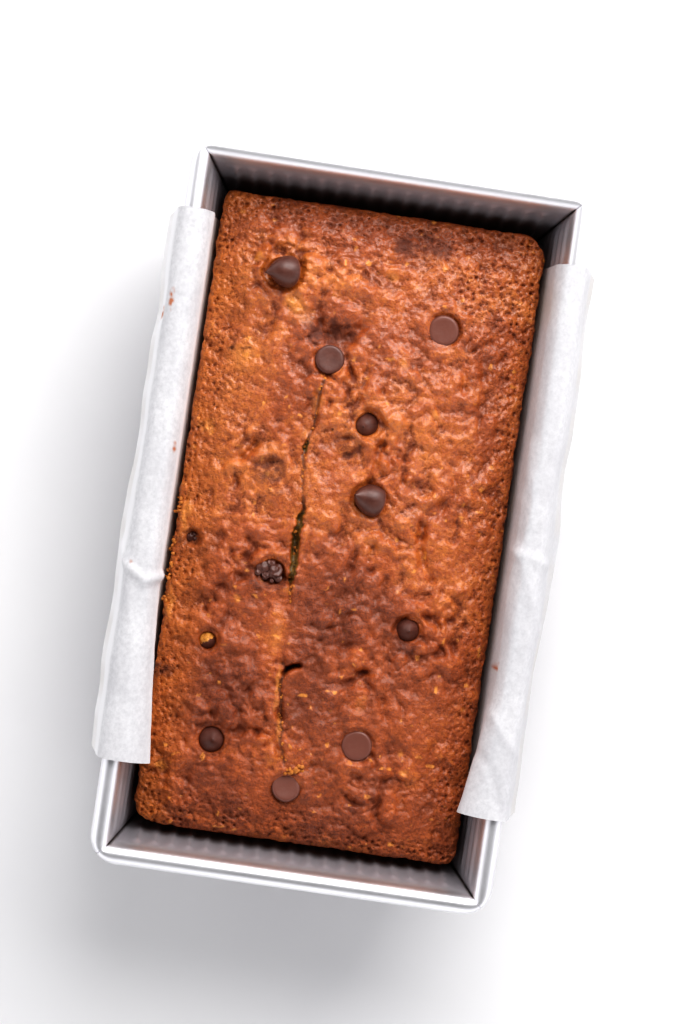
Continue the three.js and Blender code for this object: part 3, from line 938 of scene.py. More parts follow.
GOLD_SPOTS = (
    ((-25, 67.5), 2.6, 2.6, 1.0), ((-22, 64), 4.5, 4, 0.4), ((-38, 49), 6, 6, 0.5), ((-46, 25), 3, 2.4, 0.7),
    ((-45, -83), 1.6, 1.6, 1.0), ((-26, 21), 8, 3.4, 0.3), ((-13, 38), 2, 4, 0.5), ((-16, 27), 3.6, 2, 0.3),
    ((-13.2, -22), 2, 2, 0.5), ((-29, -27), 1.1, 1.1, 0.9), ((-12.2, -53), 0.9, 6, 0.9),
    ((-10.2, -65), 1.0, 4, 0.9),
    ((-13, 1.5), 2, 2, 0.5), ((24, 39), 1.2, 1.2, 0.8), ((31, -74), 1.5, 1.1, 0.7),
    ((-38, 80), 1.2, 1.2, 0.9),
    ((-45, 94), 1.2, 0.9, 0.7), ((12, 53), 1.6, 1.4, 0.6), ((-49, -3), 1.5, 7, 0.8),
    ((-50, -32), 1.5, 6, 0.7),
    ((-15, -36), 4, 9, 0.25), ((5, 80), 2, 2, 0.6), ((14, -54), 3, 5, 0.25), ((29, -68), 1.2, 1.1, 0.6),
)


def mark_crust(piece):
    """Stores the crust's browning and painted shade, gold, chocolate, crumb, gloss and hollows on its points.
    """
    x, y, z = read_points(piece).T
    edge = edge_distance(x, y)
    on_top = ease((z - SHOULDER_Z + 3) / 3)
    gap = split_gap(x, y)
    width = split_width(y)
    porous = porous_share(x, y, edge)
    # This sum holds browning and the painted shade at both ends.
    broad = sum(s * spot(x, y, at, a, b) for at, a, b, s in BROAD_BROWN_AND_SHADE)
    left_of_split = ease((-11.4 - x - 2.4 * swells(x, y, 4, 52)) / 2.4)
    broad = broad - 0.3 * spot(x, y, (-15.0, -32), 3.4, 12) * left_of_split
    browning_and_shade = broad + 0.22 * swells(x, y, 24, 41) + 0.2 * swells(x, y, 9, 42) + 0.12 * swells(x, y, 4, 43)
    wobble_x = x + 1.1 * swells(x, y, 3.2, 44)
    wobble_y = y + 1.1 * swells(x, y, 3.2, 45)
    dark = sum(s * ease(1.9 * spot(wobble_x, wobble_y, at, a, b)) for at, a, b, s in DARK_SPOTS)
    dark = dark * (0.75 + 0.45 * swells(x, y, 1.8, 46))
    gold = sum(s * spot(wobble_x, wobble_y, at, a, b) for at, a, b, s in GOLD_SPOTS)
    left_side = ease((-34 - x) / 16) * (0.45 + 0.5 * swells(x, y, 16, 47))
    rim_glow = ease(1 - edge / 9) * (0.12 + 0.35 * swells(x, y, 7, 48))
    specks = ease((swells(x, y, 2.4, 49) - 0.56) / 0.16) + 0.3 * ease((swells(x, y, 1.5, 50) - 0.6) / 0.12)
    gold = gold + specks * ease((swells(x, y, 15, 51) + 0.25) / 0.5)
    crumb = ease(1.5 - gap / (width + 0.15)) * ease((width - 0.3) / 0.25) * ease((48 - y) / 4)
    # A dark line along the split is painted shade, for a crack too narrow for the grid to show.
    split_shade_line = ease(1.6 - gap / 0.5) * ease((47 - y) / 3) * ease((y + 79) / 3) * ease(width / 0.12)
    mark_points(piece, "browning_and_shade", 0.32 + 0.75 * browning_and_shade)
    mark_points(piece, "chocolate_stain", dark * on_top)
    mark_points(piece, "gold", gold * on_top)
    mark_points(piece, "amber", (left_side + rim_glow) * on_top + (1 - on_top) * 0.5)
    mark_points(piece, "crumb", crumb * on_top)
    mark_points(piece, "split_shade", split_shade_line * on_top)
    glossy = 0.5 + 0.5 * ease((y + 80) / 150) + 0.25 * swells(x, y, 14, 53)
    mark_points(piece, "glossy", np.clip(glossy, 0, 1) * on_top)
    mark_points(piece, "porous", porous * on_top + 1 - on_top)
    # This amount darkens the colour in the small hollows, partly as the crust's own colour and partly as
    # painted shade.
    mark_points(piece, "hollow_shade", (0.44 - 0.34 * fine_relief(x, y, edge)) * on_top + 0.5 * (1 - on_top))


mark_crust(loaf)
only(loaf)
bpy.ops.object.shade_smooth()
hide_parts("banana_loaf")
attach(loaf, "root")
print("crust marked:", [layer.name for layer in loaf.data.attributes if layer.data_type == "FLOAT"])

# %% [markdown]
# ## The chocolate drops
#
# A drop is piped through a nozzle onto a flat belt: its base is flat with a soft edge, and its top closes to
# a small curled tip. It is modelled as on a potter's wheel. A disc is added, and its rim is extruded upwards
# ring by ring, each ring scaled to the next radius. One drop is modelled, then copied and turned for each
# place. Several landed base up, so that only the flat disc shows.

# %% Raise one drop
DROP_RINGS = (
    (4.15, 0.0), (4.6, 0.16), (4.9, 0.5), (5.08, 1.15), (5.1, 2.0), (4.88, 3.2), (4.46, 4.3), (3.92, 5.3),
    (3.3, 6.25), (2.6, 7.1), (1.9, 7.85), (1.28, 8.45), (0.8, 8.95), (0.45, 9.35), (0.16, 9.6),
)
DROP_SIDES = 40


def raise_rings(name, rings, sides):
    """A turned shape: a disc whose rim is extruded to each next radius and height, in millimetres."""
    bpy.ops.object.select_all(action="DESELECT")
    radius, height = rings[0]
    bpy.ops.mesh.primitive_circle_add(
        vertices=sides, radius=radius * MM, fill_type="NGON", location=(0, 0, height * MM)
    )
    turned = named(name)
    bpy.ops.object.transform_apply(location=True, rotation=False, scale=False)
    bpy.ops.object.mode_set(mode="EDIT")
    bpy.ops.mesh.select_all(action="SELECT")
    for next_radius, next_height in rings[1:]:
        rise = (next_height - height) * MM
        bpy.ops.mesh.extrude_region_move(TRANSFORM_OT_translate={"value": (0, 0, rise)})
        grow = next_radius / radius
        bpy.ops.transform.resize(value=(grow, grow, 1), center_override=(0, 0, next_height * MM))
        radius = next_radius
        height = next_height
    bpy.ops.mesh.select_all(action="SELECT")
    bpy.ops.mesh.normals_make_consistent(inside=False)
    bpy.ops.object.mode_set(mode="OBJECT")
    return turned


pattern_drop = raise_rings("pattern_drop", DROP_RINGS, DROP_SIDES)
print("one drop:", len(pattern_drop.data.polygons), "faces")

# %% [markdown]
# Two of the drops broke in the mixing and half melted, so they are a few rough lumps each. A lump is a ball
# that is squashed and knocked out of round. The same ball, with fewer faces, serves for crumbs later.

# %% A rough ball


def rough_ball(at, radius, seed, detail):
    """A ball squashed and knocked out of round. detail is how often its faces are divided."""
    bpy.ops.object.select_all(action="DESELECT")
    bpy.ops.mesh.primitive_ico_sphere_add(subdivisions=detail, radius=1 * MM)
    ball = named(f"ball_{seed}")
    points = read_points(ball)
    rng = np.random.default_rng(seed)
    stretch = rng.uniform(0.7, 1.25, 3) * (1, 1, 0.75)
    knocks = 1 + 0.28 * swells(points[:, 0] * 2 + seed, points[:, 1] * 2 + points[:, 2] * 3, 1.1, seed)
    write_points(ball, points * knocks[:, None] * stretch * radius + at)
    return ball


LUMPS = {
    "chocolate_drop_06": (
        (-3.0, 1.0, 2.1), (-0.8, 2.4, 1.8), (0.8, 0.2, 2.2), (-2.0, -1.4, 1.4), (2.2, -1.8, 1.0),
        (-4.4, -0.8, 0.9), (0.2, -2.8, 0.8),
    ),
    "chocolate_drop_12": ((-0.8, 0.4, 1.5), (0.9, -0.2, 1.2), (0.1, 1.3, 0.8)),
}
print("broken drops:", len(LUMPS))

# %% [markdown]
# A copy gets its own small faults: a tip that leans, a slightly uneven outline, and faint rings from the
# piping. Then it is turned, scaled and moved so that it fills its solid's place.

# %% Copy and place the drops
DROP_POSES = {
    "chocolate_drop_01": (56, 184), "chocolate_drop_02": (177, 60), "chocolate_drop_03": (176, 250),
    "chocolate_drop_04": (24, 215), "chocolate_drop_05": (60, 170), "chocolate_drop_07": (10, 100),
    "chocolate_drop_08": (10, 0), "chocolate_drop_09": (16, 40), "chocolate_drop_10": (178, 0),
    "chocolate_drop_11": (172, 280),
}
BASE_INSETS = (0.55, 0.9, 1.0)


def turn_towards(points, lean, heading):
    """Leans points over by an angle, with the tip going towards a heading from +X, in degrees."""
    a = math.radians(lean)
    h = math.radians(heading)
    along = points[:, 0] * math.cos(h) + points[:, 1] * math.sin(h)
    across = -points[:, 0] * math.sin(h) + points[:, 1] * math.cos(h)
    lain = along * math.cos(a) + points[:, 2] * math.sin(a)
    up = -along * math.sin(a) + points[:, 2] * math.cos(a)
    x = lain * math.cos(h) - across * math.sin(h)
    y = lain * math.sin(h) + across * math.cos(h)
    return np.stack([x, y, up], axis=1)


def own_faults(points, seed, tip_bend, sunken):
    """Makes one drop a little different from the next: a bent tip, and a base sunken or bulging."""
    rng = np.random.default_rng(seed)
    x, y, z = points.T
    turn = rng.uniform(0, 2 * np.pi)
    bend = tip_bend * ease((z - 6) / 4) ** 2
    x = x + bend * math.cos(turn) + 0.10 * swells(y + 20 * seed, z, 4, 61)
    y = y + bend * math.sin(turn) + 0.10 * swells(x + 20 * seed, z, 4, 62)
    reach = np.hypot(x, y)
    flat = z < 0.05
    z = z + flat * sunken * ease(1 - reach / 4.4)
    return np.stack([x, y, z], axis=1)


def place_drop(name, pose, seed):
    """One drop in its place, as a piece of its own."""
    only(pattern_drop)
    bpy.ops.object.duplicate()
    drop = bpy.context.active_object
    drop.name = name.replace("chocolate_drop", "drop")
    drop.data.name = drop.name
    bpy.ops.object.mode_set(mode="EDIT")
    bpy.ops.mesh.select_all(action="DESELECT")
    bpy.ops.mesh.select_face_by_sides(number=DROP_SIDES, type="EQUAL")
    for inset in BASE_INSETS:
        bpy.ops.mesh.inset(thickness=inset * MM, depth=0)
    bpy.ops.mesh.poke()
    bpy.ops.object.mode_set(mode="OBJECT")
    upright = read_points(drop)
    pale = 0.25 if name == "chocolate_drop_03" else 1.0
    mark_points(drop, "bloom", pale * ease(1.2 - upright[:, 2]))
    lean = pose[0]
    tip_bend = 1.5 if lean < 100 else 0.5
    sunken = -1.5 if 40 < lean < 100 else 0.16
    points = turn_towards(own_faults(upright, seed, tip_bend, sunken), *pose)
    middle, half = DROP_PLACES[name]
    size = (half * 2).max() / np.ptp(points, axis=0).max()
    points *= size
    points += middle - (points.max(axis=0) + points.min(axis=0)) / 2
    write_points(drop, points)
    if name == "chocolate_drop_08":
        far_left = (points[:, 1] - middle[1]) - 0.6 * (points[:, 0] - middle[0])
        mark_points(drop, "batter", ease(0.5 + far_left / 1.6))
    apply_modifier(drop, "SUBSURF", levels=1, render_levels=1)
    return finish_drop(drop, name)


def broken_drop(name, lumps):
    """A drop in lumps, as one piece. Each lump is x and y from the drop's middle, and a radius."""
    middle, half = DROP_PLACES[name]
    top = middle[2] + half[2]
    lump_list = [
        rough_ball((middle[0] + x, middle[1] + y, top - 1.6 - 0.6 * radius), radius, 300 + i, 4)
        for i, (x, y, radius) in enumerate(lumps)
    ]
    return finish_drop(join(lump_list, name.replace("chocolate_drop", "drop")), name)


def finish_drop(drop, name):
    """Shades a drop, hides the solid it stands for, and attaches the drop to the root."""
    smooth(drop, 50)
    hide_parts(name)
    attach(drop, "root")
    return drop


drops = [place_drop(name, pose, seed) for seed, (name, pose) in enumerate(DROP_POSES.items())]
drops += [broken_drop(name, lumps) for name, lumps in LUMPS.items()]
bpy.data.objects.remove(pattern_drop)
print("drops placed:", len(drops), "of", len(drops[0].data.polygons), "faces")

# %% [markdown]
# ## Crumbs
#
# Where the crust tore, small crumbs lie along the split and beside the drop at its end. Beads of batter baked
# fast along the left edge, by the paper. Each is a rough little ball with a shape of its own. The places come
# from a fixed seed, so each run gives the same crumbs, and a ray from above finds the crust under each.

# %% Scatter the crumbs
SPLIT_RUNS = ((0, 3, 9), (3, 6, 10), (8, 12, 16), (16, 20, 16))
CRUMBS_AT_END = 22
BEAD_CLUSTERS = (1.5, -2.5, -12, -15, -21, -24, -30)
BEADS_IN_CLUSTER = 6


def crumb_places():
    """Where crumbs lie and how big they are: x, y and radius in millimetres."""
    rng = np.random.default_rng(7)
    line = np.array(SPLIT)
    places = []
    for start, stop, count in SPLIT_RUNS:
        for _ in range(count):
            t = rng.uniform(start, stop)
            a = line[int(t)]
            b = line[min(int(t) + 1, len(line) - 1)]
            stray = rng.normal(0, 0.5, 2)
            places.append((*(a + (b - a) * (t % 1) + stray), rng.uniform(0.22, 0.55)))
    for _ in range(CRUMBS_AT_END):
        places.append((rng.normal(-2.8, 1.9), rng.normal(-77.6, 0.7), rng.uniform(0.3, 0.85)))
    for cluster_y in BEAD_CLUSTERS:
        for _ in range(BEADS_IN_CLUSTER):
            y = cluster_y + rng.normal(0, 1.1)
            places.append((rng.normal(-51.5, 0.4), y, rng.uniform(0.2, 0.75)))
    return places


def crust_finder():
    """A function that gives the crust's height at a place, by shining straight down on it."""
    tree = loaf.evaluated_get(bpy.context.evaluated_depsgraph_get())

    def height(x, y):
        hit, point, _, _ = tree.ray_cast((x * MM, y * MM, 0.1), (0, 0, -1))
        return point[2] / MM if hit else SHOULDER_Z

    return height


height_at = crust_finder()
balls = [
    rough_ball((x, y, height_at(x, y) + radius * 0.25), radius, seed, 2)
    for seed, (x, y, radius) in enumerate(crumb_places())
]
crumbs = join(balls, "crumbs")
smooth(crumbs, 60)
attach(crumbs, "root")
print("crumbs:", len(balls), "with", len(crumbs.data.polygons), "faces")

# %% [markdown]
# ## Materials
#
# Every finish is built from nodes that read the piece's own coordinates or the amounts stored on its points.
# A few helpers keep the recipes short: they add a node and wire its inputs, read a stored amount, make
# noise, stretch a range of numbers to another, do a sum, mix two colours, and lay bumps.

# %% Helpers for nodes


def new_finish(name):
    """A new material, its node tree and its main shader."""
    material = bpy.data.materials.new(name)
    material.use_nodes = True
    return material, material.node_tree, material.node_tree.nodes["Principled BSDF"]


def node(tree, kind, inputs=None, **settings):
    """Adds a node, sets it up, and fills or links its inputs."""
    made = tree.nodes.new("ShaderNode" + kind)
    for key, value in settings.items():
        setattr(made, key, value)
    for key, value in (inputs or {}).items():
        if isinstance(value, bpy.types.NodeSocket):
            tree.links.new(value, made.inputs[key])
        else:
            made.inputs[key].default_value = value
    return made


def amount(tree, name):
    """The number stored on the points under this name."""
    return node(tree, "Attribute", attribute_name=name).outputs["Fac"]


def noise(tree, size, detail, rough, warp=0.0):
    """Noise with bumps of this size in millimetres."""
    place = node(tree, "TexCoord").outputs["Object"]
    scaled = node(tree, "Mapping", {"Vector": place, "Scale": [1 / (size * MM)] * 3})
    made = node(
        tree, "TexNoise",
        {"Vector": scaled.outputs[0], "Scale": 1.0, "Detail": detail, "Roughness": rough, "Distortion": warp},
    )
    return made.outputs["Fac"]


def cells(tree, size):
    """The distance to scattered seeds, this many millimetres apart."""
    place = node(tree, "TexCoord").outputs["Object"]
    made = node(tree, "TexVoronoi", {"Vector": place, "Scale": 1 / (size * MM)})
    return made.outputs["Distance"]


def spread(tree, value, low, high, to_low=0.0, to_high=1.0):
    """Stretches the range from low to high to another range, and stops at its ends."""
    made = node(
        tree, "MapRange",
        {"Value": value, "From Min": low, "From Max": high, "To Min": to_low, "To Max": to_high},
    )
    return made.outputs["Result"]


def calc(tree, operation, a, b):
    """Does one sum with two numbers."""
    made = node(tree, "Math", {0: a, 1: b}, operation=operation)
    return made.outputs[0]


def mixed(tree, share, first, second):
    """Mixes two colours. A colour is a node's output or three numbers."""
    made = tree.nodes.new("ShaderNodeMix")
    made.data_type = "RGBA"
    for key, value in ((0, share), (6, first), (7, second)):
        if isinstance(value, bpy.types.NodeSocket):
            tree.links.new(value, made.inputs[key])
        elif key == 0:
            made.inputs[key].default_value = value
        else:
            made.inputs[key].default_value = (*value, 1)
    return made.outputs[2]


def bumps(tree, shader, layers):
    """Lays bumps on the shader. Each layer is a height, how strong it is, and how deep in millimetres."""
    normal = None
    for height, strength, depth in layers:
        inputs = {"Height": height, "Strength": strength, "Distance": depth * MM}
        if normal is not None:
            inputs["Normal"] = normal
        normal = node(tree, "Bump", inputs).outputs["Normal"]
    tree.links.new(normal, shader.inputs["Normal"])


def dress(piece, material):
    """Gives a piece this material alone."""
    piece.data.materials.clear()
    piece.data.materials.append(material)


print("helpers ready")

# %% [markdown]
# ### Crust
#
# The colour starts from red-brown, goes darker by the stored browning, which holds painted shade along both
# ends of the loaf, and golden along the left side and the rim. The small hollows go darker, partly as the
# crust's own colour and partly as painted shade, and its pores get dark flecks of painted shade. Melted
# chocolate, gold specks, the crumb where the crust tore and a painted line of shade along the split come on
# top. The skin is thin and sugary, so it shines on its folds: there it is smoother and has a clear coat.
# Hollows and melted chocolate are dull, and a fine grit covers everything.

# %% The crust's finish


def crust_finish():
    """Mixes the crust's colours by the stored amounts, then its gloss and its bumps."""
    material, tree, shader = new_finish("baked_crust")
    patches = noise(tree, 9, 4, 0.6)
    mottle = noise(tree, 2.2, 4, 0.65)
    fine = noise(tree, 0.95, 3, 0.65)
    grit = noise(tree, 0.5, 2, 0.6)
    # The stored amount holds browning and painted shade.
    browning_and_shade = calc(tree, "ADD", amount(tree, "browning_and_shade"), spread(tree, patches, 0.3, 0.7, -0.16, 0.16))
    browning_and_shade = calc(tree, "ADD", browning_and_shade, spread(tree, mottle, 0.3, 0.7, -0.18, 0.18))
    browning_and_shade = calc(tree, "ADD", browning_and_shade, spread(tree, grit, 0.3, 0.7, -0.26, 0.26))
    brown = mixed(tree, spread(tree, browning_and_shade, 0.0, 0.55), (0.62, 0.198, 0.035), (0.40, 0.088, 0.012))
    brown = mixed(tree, spread(tree, browning_and_shade, 0.55, 1.2), brown, (0.16, 0.031, 0.007))
    # depth darkens the small hollows, partly as the crust's own colour and partly as painted shade.
    depth = calc(tree, "ADD", amount(tree, "hollow_shade"), spread(tree, fine, 0.3, 0.7, -0.26, 0.26))
    depth = calc(tree, "ADD", depth, spread(tree, grit, 0.3, 0.7, 0.12, -0.12))
    brown = mixed(tree, spread(tree, depth, 0.36, 0.9, 0, 0.85), brown, (0.21, 0.045, 0.004))
    amber = calc(tree, "MULTIPLY", amount(tree, "amber"), spread(tree, patches, 0.3, 0.65, 0.5, 1.2))
    colour = mixed(tree, spread(tree, amber, 0.0, 0.9, 0.0, 0.85), brown, (0.57, 0.172, 0.017))
    # Dark flecks where the crust is porous are painted shade in its pores.
    pore_shade = spread(tree, cells(tree, 3.1), 0.05, 0.22, 0.5, 0.0)
    colour = mixed(tree, calc(tree, "MULTIPLY", pore_shade, amount(tree, "porous")), colour, (0.12, 0.022, 0.005))
    gold = calc(tree, "MULTIPLY", amount(tree, "gold"), spread(tree, mottle, 0.3, 0.62, 0.45, 1.1))
    colour = mixed(tree, spread(tree, gold, 0.1, 0.85, 0.0, 0.85), colour, (0.82, 0.33, 0.060))
    # The painted shade along the split.
    colour = mixed(tree, spread(tree, amount(tree, "split_shade"), 0.3, 0.9, 0, 0.75), colour, (0.13, 0.035, 0.006))
    # The deepest hollows go darker still, again partly as painted shade.
    colour = mixed(tree, spread(tree, depth, 0.55, 1.05, 0, 0.7), colour, (0.15, 0.025, 0.004))
    crumb = mixed(tree, spread(tree, fine, 0.35, 0.65), (0.30, 0.17, 0.03), (0.05, 0.025, 0.006))
    colour = mixed(tree, spread(tree, amount(tree, "crumb"), 0.2, 0.7), colour, crumb)
    stain = calc(tree, "MULTIPLY", amount(tree, "chocolate_stain"), spread(tree, mottle, 0.25, 0.6, 0.6, 1.1))
    stain = calc(tree, "ADD", stain, spread(tree, grit, 0.3, 0.7, -0.12, 0.12))
    colour = mixed(tree, spread(tree, stain, 0.1, 0.9, 0.0, 0.8), colour, (0.090, 0.020, 0.009))
    tree.links.new(colour, shader.inputs["Base Color"])
    dull = calc(tree, "MAXIMUM", spread(tree, depth, 0.45, 0.95), spread(tree, stain, 0.1, 0.8))
    dull = calc(tree, "MAXIMUM", dull, spread(tree, browning_and_shade, 0.6, 1.2, 0, 0.6))
    gloss = calc(tree, "MULTIPLY", amount(tree, "glossy"), spread(tree, grit, 0.42, 0.58, 0.45, 1.0))
    gloss = calc(tree, "MULTIPLY", gloss, spread(tree, dull, 0, 1, 1.0, 0.05))
    shine = spread(tree, noise(tree, 7, 4, 0.65), 0.35, 0.65, -0.06, 0.08)
    rough = calc(tree, "ADD", shine, spread(tree, gloss, 0, 1, 0.66, 0.34))
    tree.links.new(rough, shader.inputs["Roughness"])
    shader.inputs["Specular IOR Level"].default_value = 0.62
    tree.links.new(gloss, shader.inputs["Coat Weight"])
    shader.inputs["Coat Roughness"].default_value = 0.32
    pores = spread(tree, cells(tree, 1.25), 0.12, 0.34, -1, 0)
    pores = calc(tree, "MULTIPLY", pores, amount(tree, "porous"))
    folds = noise(tree, 2.4, 3, 0.6, warp=0.8)
    bumps(tree, shader, ((folds, 0.4, 0.7), (fine, 0.8, 0.55), (grit, 0.8, 0.28), (pores, 0.7, 0.5)))
    return material


dress(loaf, crust_finish())
print("crust nodes:", len(loaf.data.materials[0].node_tree.nodes))

# %% The crumbs' finish


def crumb_finish():
    """Torn crumb, from brown to gold."""
    material, tree, shader = new_finish("torn_crumb")
    tint = noise(tree, 1.1, 4, 0.7)
    colour = mixed(tree, spread(tree, tint, 0.3, 0.7), (0.40, 0.13, 0.025), (0.66, 0.27, 0.05))
    tree.links.new(colour, shader.inputs["Base Color"])
    tree.links.new(spread(tree, tint, 0.3, 0.7, 0.45, 0.75), shader.inputs["Roughness"])
    bumps(tree, shader, ((noise(tree, 0.35, 3, 0.6), 0.7, 0.15),))
    return material


dress(crumbs, crumb_finish())
print("crumbs dressed")

# %% [markdown]
# ### Chocolate
#
# The drops are dark and dull from the oven: some of the cocoa butter has come to the surface as a faint
# bloom, which makes the flat bases paler than the tips. One drop still wears baked batter on one side.

# %% The chocolate's finish


def chocolate_finish():
    """Dull dark chocolate with its bloom and its batter."""
    material, tree, shader = new_finish("baked_chocolate")
    bloom = noise(tree, 2.6, 5, 0.65)
    colour = mixed(tree, spread(tree, bloom, 0.35, 0.75), (0.090, 0.033, 0.024), (0.145, 0.060, 0.045))
    bloomed = spread(tree, amount(tree, "bloom"), 0.1, 0.9, 0, 0.75)
    colour = mixed(tree, bloomed, colour, (0.210, 0.083, 0.060))
    ragged = spread(tree, noise(tree, 0.8, 3, 0.6), 0.3, 0.7, -0.4, 0.4)
    batter = calc(tree, "ADD", amount(tree, "batter"), ragged)
    mottle = spread(tree, noise(tree, 1.3, 3, 0.7), 0.35, 0.6)
    baked = mixed(tree, mottle, (0.36, 0.12, 0.02), (0.72, 0.36, 0.09))
    colour = mixed(tree, spread(tree, batter, 0.45, 0.65), colour, baked)
    tree.links.new(colour, shader.inputs["Base Color"])
    tree.links.new(spread(tree, noise(tree, 1.6, 3, 0.6), 0.3, 0.7, 0.32, 0.46), shader.inputs["Roughness"])
    shader.inputs["Specular IOR Level"].default_value = 0.5
    bumps(tree, shader, ((noise(tree, 1.4, 3, 0.6), 0.35, 0.16), (noise(tree, 0.3, 2, 0.5), 0.3, 0.04)))
    return material


chocolate = chocolate_finish()
for drop in drops:
    dress(drop, chocolate)
print("drops dressed")

# %% [markdown]
# ### Steel
#
# Aluminised steel is satin rather than bright. It reflects in broad smears with a fine grain, has gone
# darker and duller inside from many bakes, and holds a dark line of baked fat in each corner seam.

# %% The steel's finish


def steel_finish():
    """Satin steel, darker inside, with greasy seams."""
    material, tree, shader = new_finish("baking_steel")
    cloud = noise(tree, 26, 4, 0.6)
    grain = noise(tree, 0.55, 3, 0.7)
    steel = mixed(tree, spread(tree, cloud, 0.3, 0.7), (0.86, 0.855, 0.875), (0.76, 0.755, 0.78))
    baked = spread(tree, amount(tree, "inside"), 0, 1, 0, 0.9)
    steel = mixed(tree, baked, steel, (0.39, 0.37, 0.395))
    seam = spread(tree, amount(tree, "seam"), 0.25, 0.95, 0.0, 0.85)
    blots = spread(tree, noise(tree, 4, 3, 0.6), 0.5, 0.62)
    grease = mixed(tree, blots, (0.05, 0.035, 0.03), (0.16, 0.08, 0.035))
    tree.links.new(mixed(tree, seam, steel, grease), shader.inputs["Base Color"])
    tree.links.new(spread(tree, amount(tree, "inside"), 0, 1, 0.9, 0.5), shader.inputs["Metallic"])
    satin = spread(tree, cloud, 0.3, 0.7, 0.38, 0.47)
    rough = calc(tree, "ADD", satin, spread(tree, grain, 0.3, 0.7, -0.04, 0.04))
    tree.links.new(rough, shader.inputs["Roughness"])
    bumps(tree, shader, ((noise(tree, 14, 3, 0.5), 0.12, 0.5), (grain, 0.35, 0.03)))
    return material


dress(tin, steel_finish())
print("tin dressed")

# %% [markdown]
# ### Parchment
#
# The paper is bleached and matt. Grease makes it greyer and smoother low down beside the crust, its left
# half is painted whiter as painted light, and the brown marks are small and sharp.

# %% The parchment's finish


def parchment_finish():
    """Matt paper with grease, painted light on its left half, and brown marks."""
    material, tree, shader = new_finish("baking_parchment")
    fibre = noise(tree, 1.5, 5, 0.7)
    cloud = noise(tree, 18, 3, 0.55)
    paper = mixed(tree, spread(tree, cloud, 0.3, 0.7), (0.65, 0.645, 0.655), (0.55, 0.545, 0.56))
    paper = mixed(tree, spread(tree, fibre, 0.35, 0.7, 0.0, 0.6), paper, (0.42, 0.415, 0.43))
    # Painted light: the left half of the paper is made whiter.
    paper = mixed(tree, spread(tree, amount(tree, "painted_light_left"), 0, 1, 0, 0.8), paper, (0.78, 0.775, 0.785))
    paper = mixed(tree, spread(tree, amount(tree, "grease"), 0.2, 1.1, 0.0, 0.6), paper, (0.50, 0.46, 0.40))
    brown = spread(tree, amount(tree, "brown_mark"), 0.15, 0.7, 0.0, 0.9)
    tree.links.new(mixed(tree, brown, paper, (0.42, 0.12, 0.03)), shader.inputs["Base Color"])
    tree.links.new(spread(tree, amount(tree, "grease"), 0, 1, 0.62, 0.42), shader.inputs["Roughness"])
    bumps(tree, shader, ((noise(tree, 5, 4, 0.6), 0.3, 0.35), (fibre, 0.3, 0.08)))
    return material


dress(parchment, parchment_finish())
print("parchment dressed")

# %% [markdown]
# ## Floor, light and camera
#
# The loaf stands on a plain white surface. Daylight comes from a large window beyond its far end, a little to
# the right, so shadows fall softly towards the front left. The pale walls of the room fill them. Its ceiling
# is dark, so that nothing grey shines back from the crust. The look set for the view has high contrast,
# which keeps the whites white and the browns deep.

# %% The floor
FLOOR_SIZE = 6


def make_floor():
    """A plain white surface for the tin to stand on."""
    bpy.ops.object.select_all(action="DESELECT")
    bpy.ops.mesh.primitive_plane_add(size=FLOOR_SIZE)
    floor = named("floor")
    material, tree, shader = new_finish("white_top")
    tint = spread(tree, noise(tree, 160, 4, 0.6), 0.35, 0.7)
    tree.links.new(mixed(tree, tint, (0.81, 0.807, 0.81), (0.77, 0.767, 0.775)), shader.inputs["Base Color"])
    shader.inputs["Roughness"].default_value = 0.6
    dress(floor, material)
    return floor


floor = make_floor()
print("floor at", read_points(floor)[:, 2].max(), "mm")

# %% Light
WINDOW_AT = (0.18, 0.64, 0.74)
WINDOW_SIZE = 0.74
WINDOW_POWER = 8.3
WINDOW_TINT = (1.0, 0.985, 0.98)
LIGHT_AIM = (0, 0, 0.05)


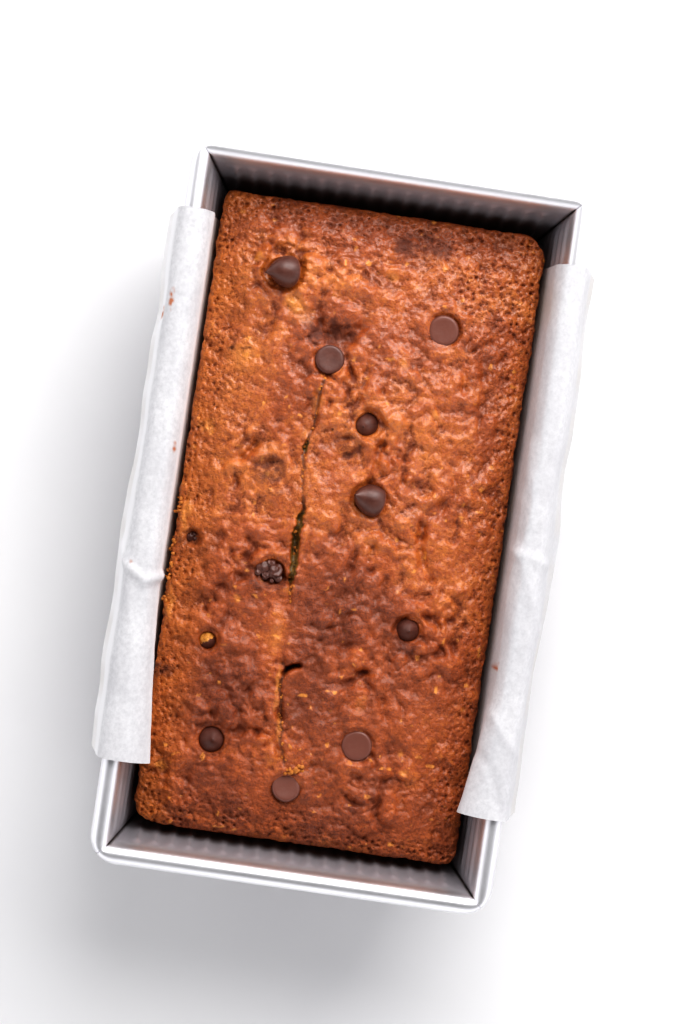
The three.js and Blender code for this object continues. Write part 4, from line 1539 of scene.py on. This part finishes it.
def soft_light(name, at, size, power, tint):
    """A square lamp at a place in metres, aimed at the loaf."""
    bpy.ops.object.light_add(type="AREA", location=at)
    lamp = bpy.context.active_object
    lamp.name = name
    lamp.data.shape = "SQUARE"
    lamp.data.size = size
    lamp.data.energy = power
    lamp.data.color = tint
    back = lamp.location - type(lamp.location)(LIGHT_AIM)
    lamp.rotation_euler = back.to_track_quat("Z", "Y").to_euler()
    return lamp


def make_room():
    """Pale walls all round and a dark ceiling, as light for the whole scene."""
    world = bpy.data.worlds.new("room")
    world.use_nodes = True
    tree = world.node_tree
    height = node(tree, "SeparateXYZ", {0: node(tree, "TexCoord").outputs["Generated"]}).outputs["Z"]
    walls = spread(tree, height, 0.88, 0.48, 0.06, 1.16)
    background = tree.nodes["Background"]
    background.inputs["Color"].default_value = (0.98, 0.98, 1.0, 1)
    tree.links.new(walls, background.inputs["Strength"])
    bpy.context.scene.world = world


soft_light("window", WINDOW_AT, WINDOW_SIZE, WINDOW_POWER, WINDOW_TINT)
make_room()
bpy.context.scene.view_settings.view_transform = "Standard"
bpy.context.scene.view_settings.look = "High Contrast"

# %% [markdown]
# The camera looks down from high above, as one looks at a loaf on a table, with its long side leaning a
# little to the right. It is far enough away for the tin's four walls to show only as narrow bands.

# %% Camera
CAMERA_RISE = 800.0
CAMERA_AT = (-26.0, 4.5)
AIM_AT = (-0.84, 4.55)
LEAN_RIGHT = 8.45
LENS = 90.8
SENSOR = 36


def make_camera():
    """The camera high above the loaf, turned so that the loaf leans to the right."""
    lean = math.radians(LEAN_RIGHT)
    place = np.array([*CAMERA_AT, HEIGHT + CAMERA_RISE])
    view = np.array([*AIM_AT, HEIGHT]) - place
    view /= np.linalg.norm(view)
    right = np.cross(view, (-math.sin(lean), math.cos(lean), 0))
    right /= np.linalg.norm(right)
    up = np.cross(right, view)
    bpy.ops.object.camera_add()
    camera = named("camera")
    camera.data.lens = LENS
    camera.data.sensor_width = SENSOR
    matrix = np.eye(4)
    matrix[:3, 0] = right
    matrix[:3, 1] = up
    matrix[:3, 2] = -view
    matrix[:3, 3] = place * MM
    camera.matrix_world = type(camera.matrix_world)(matrix.tolist())
    camera.data.clip_start = 0.05
    return camera


bpy.context.scene.camera = make_camera()
print("camera at", tuple(round(v, 3) for v in bpy.context.scene.camera.location))
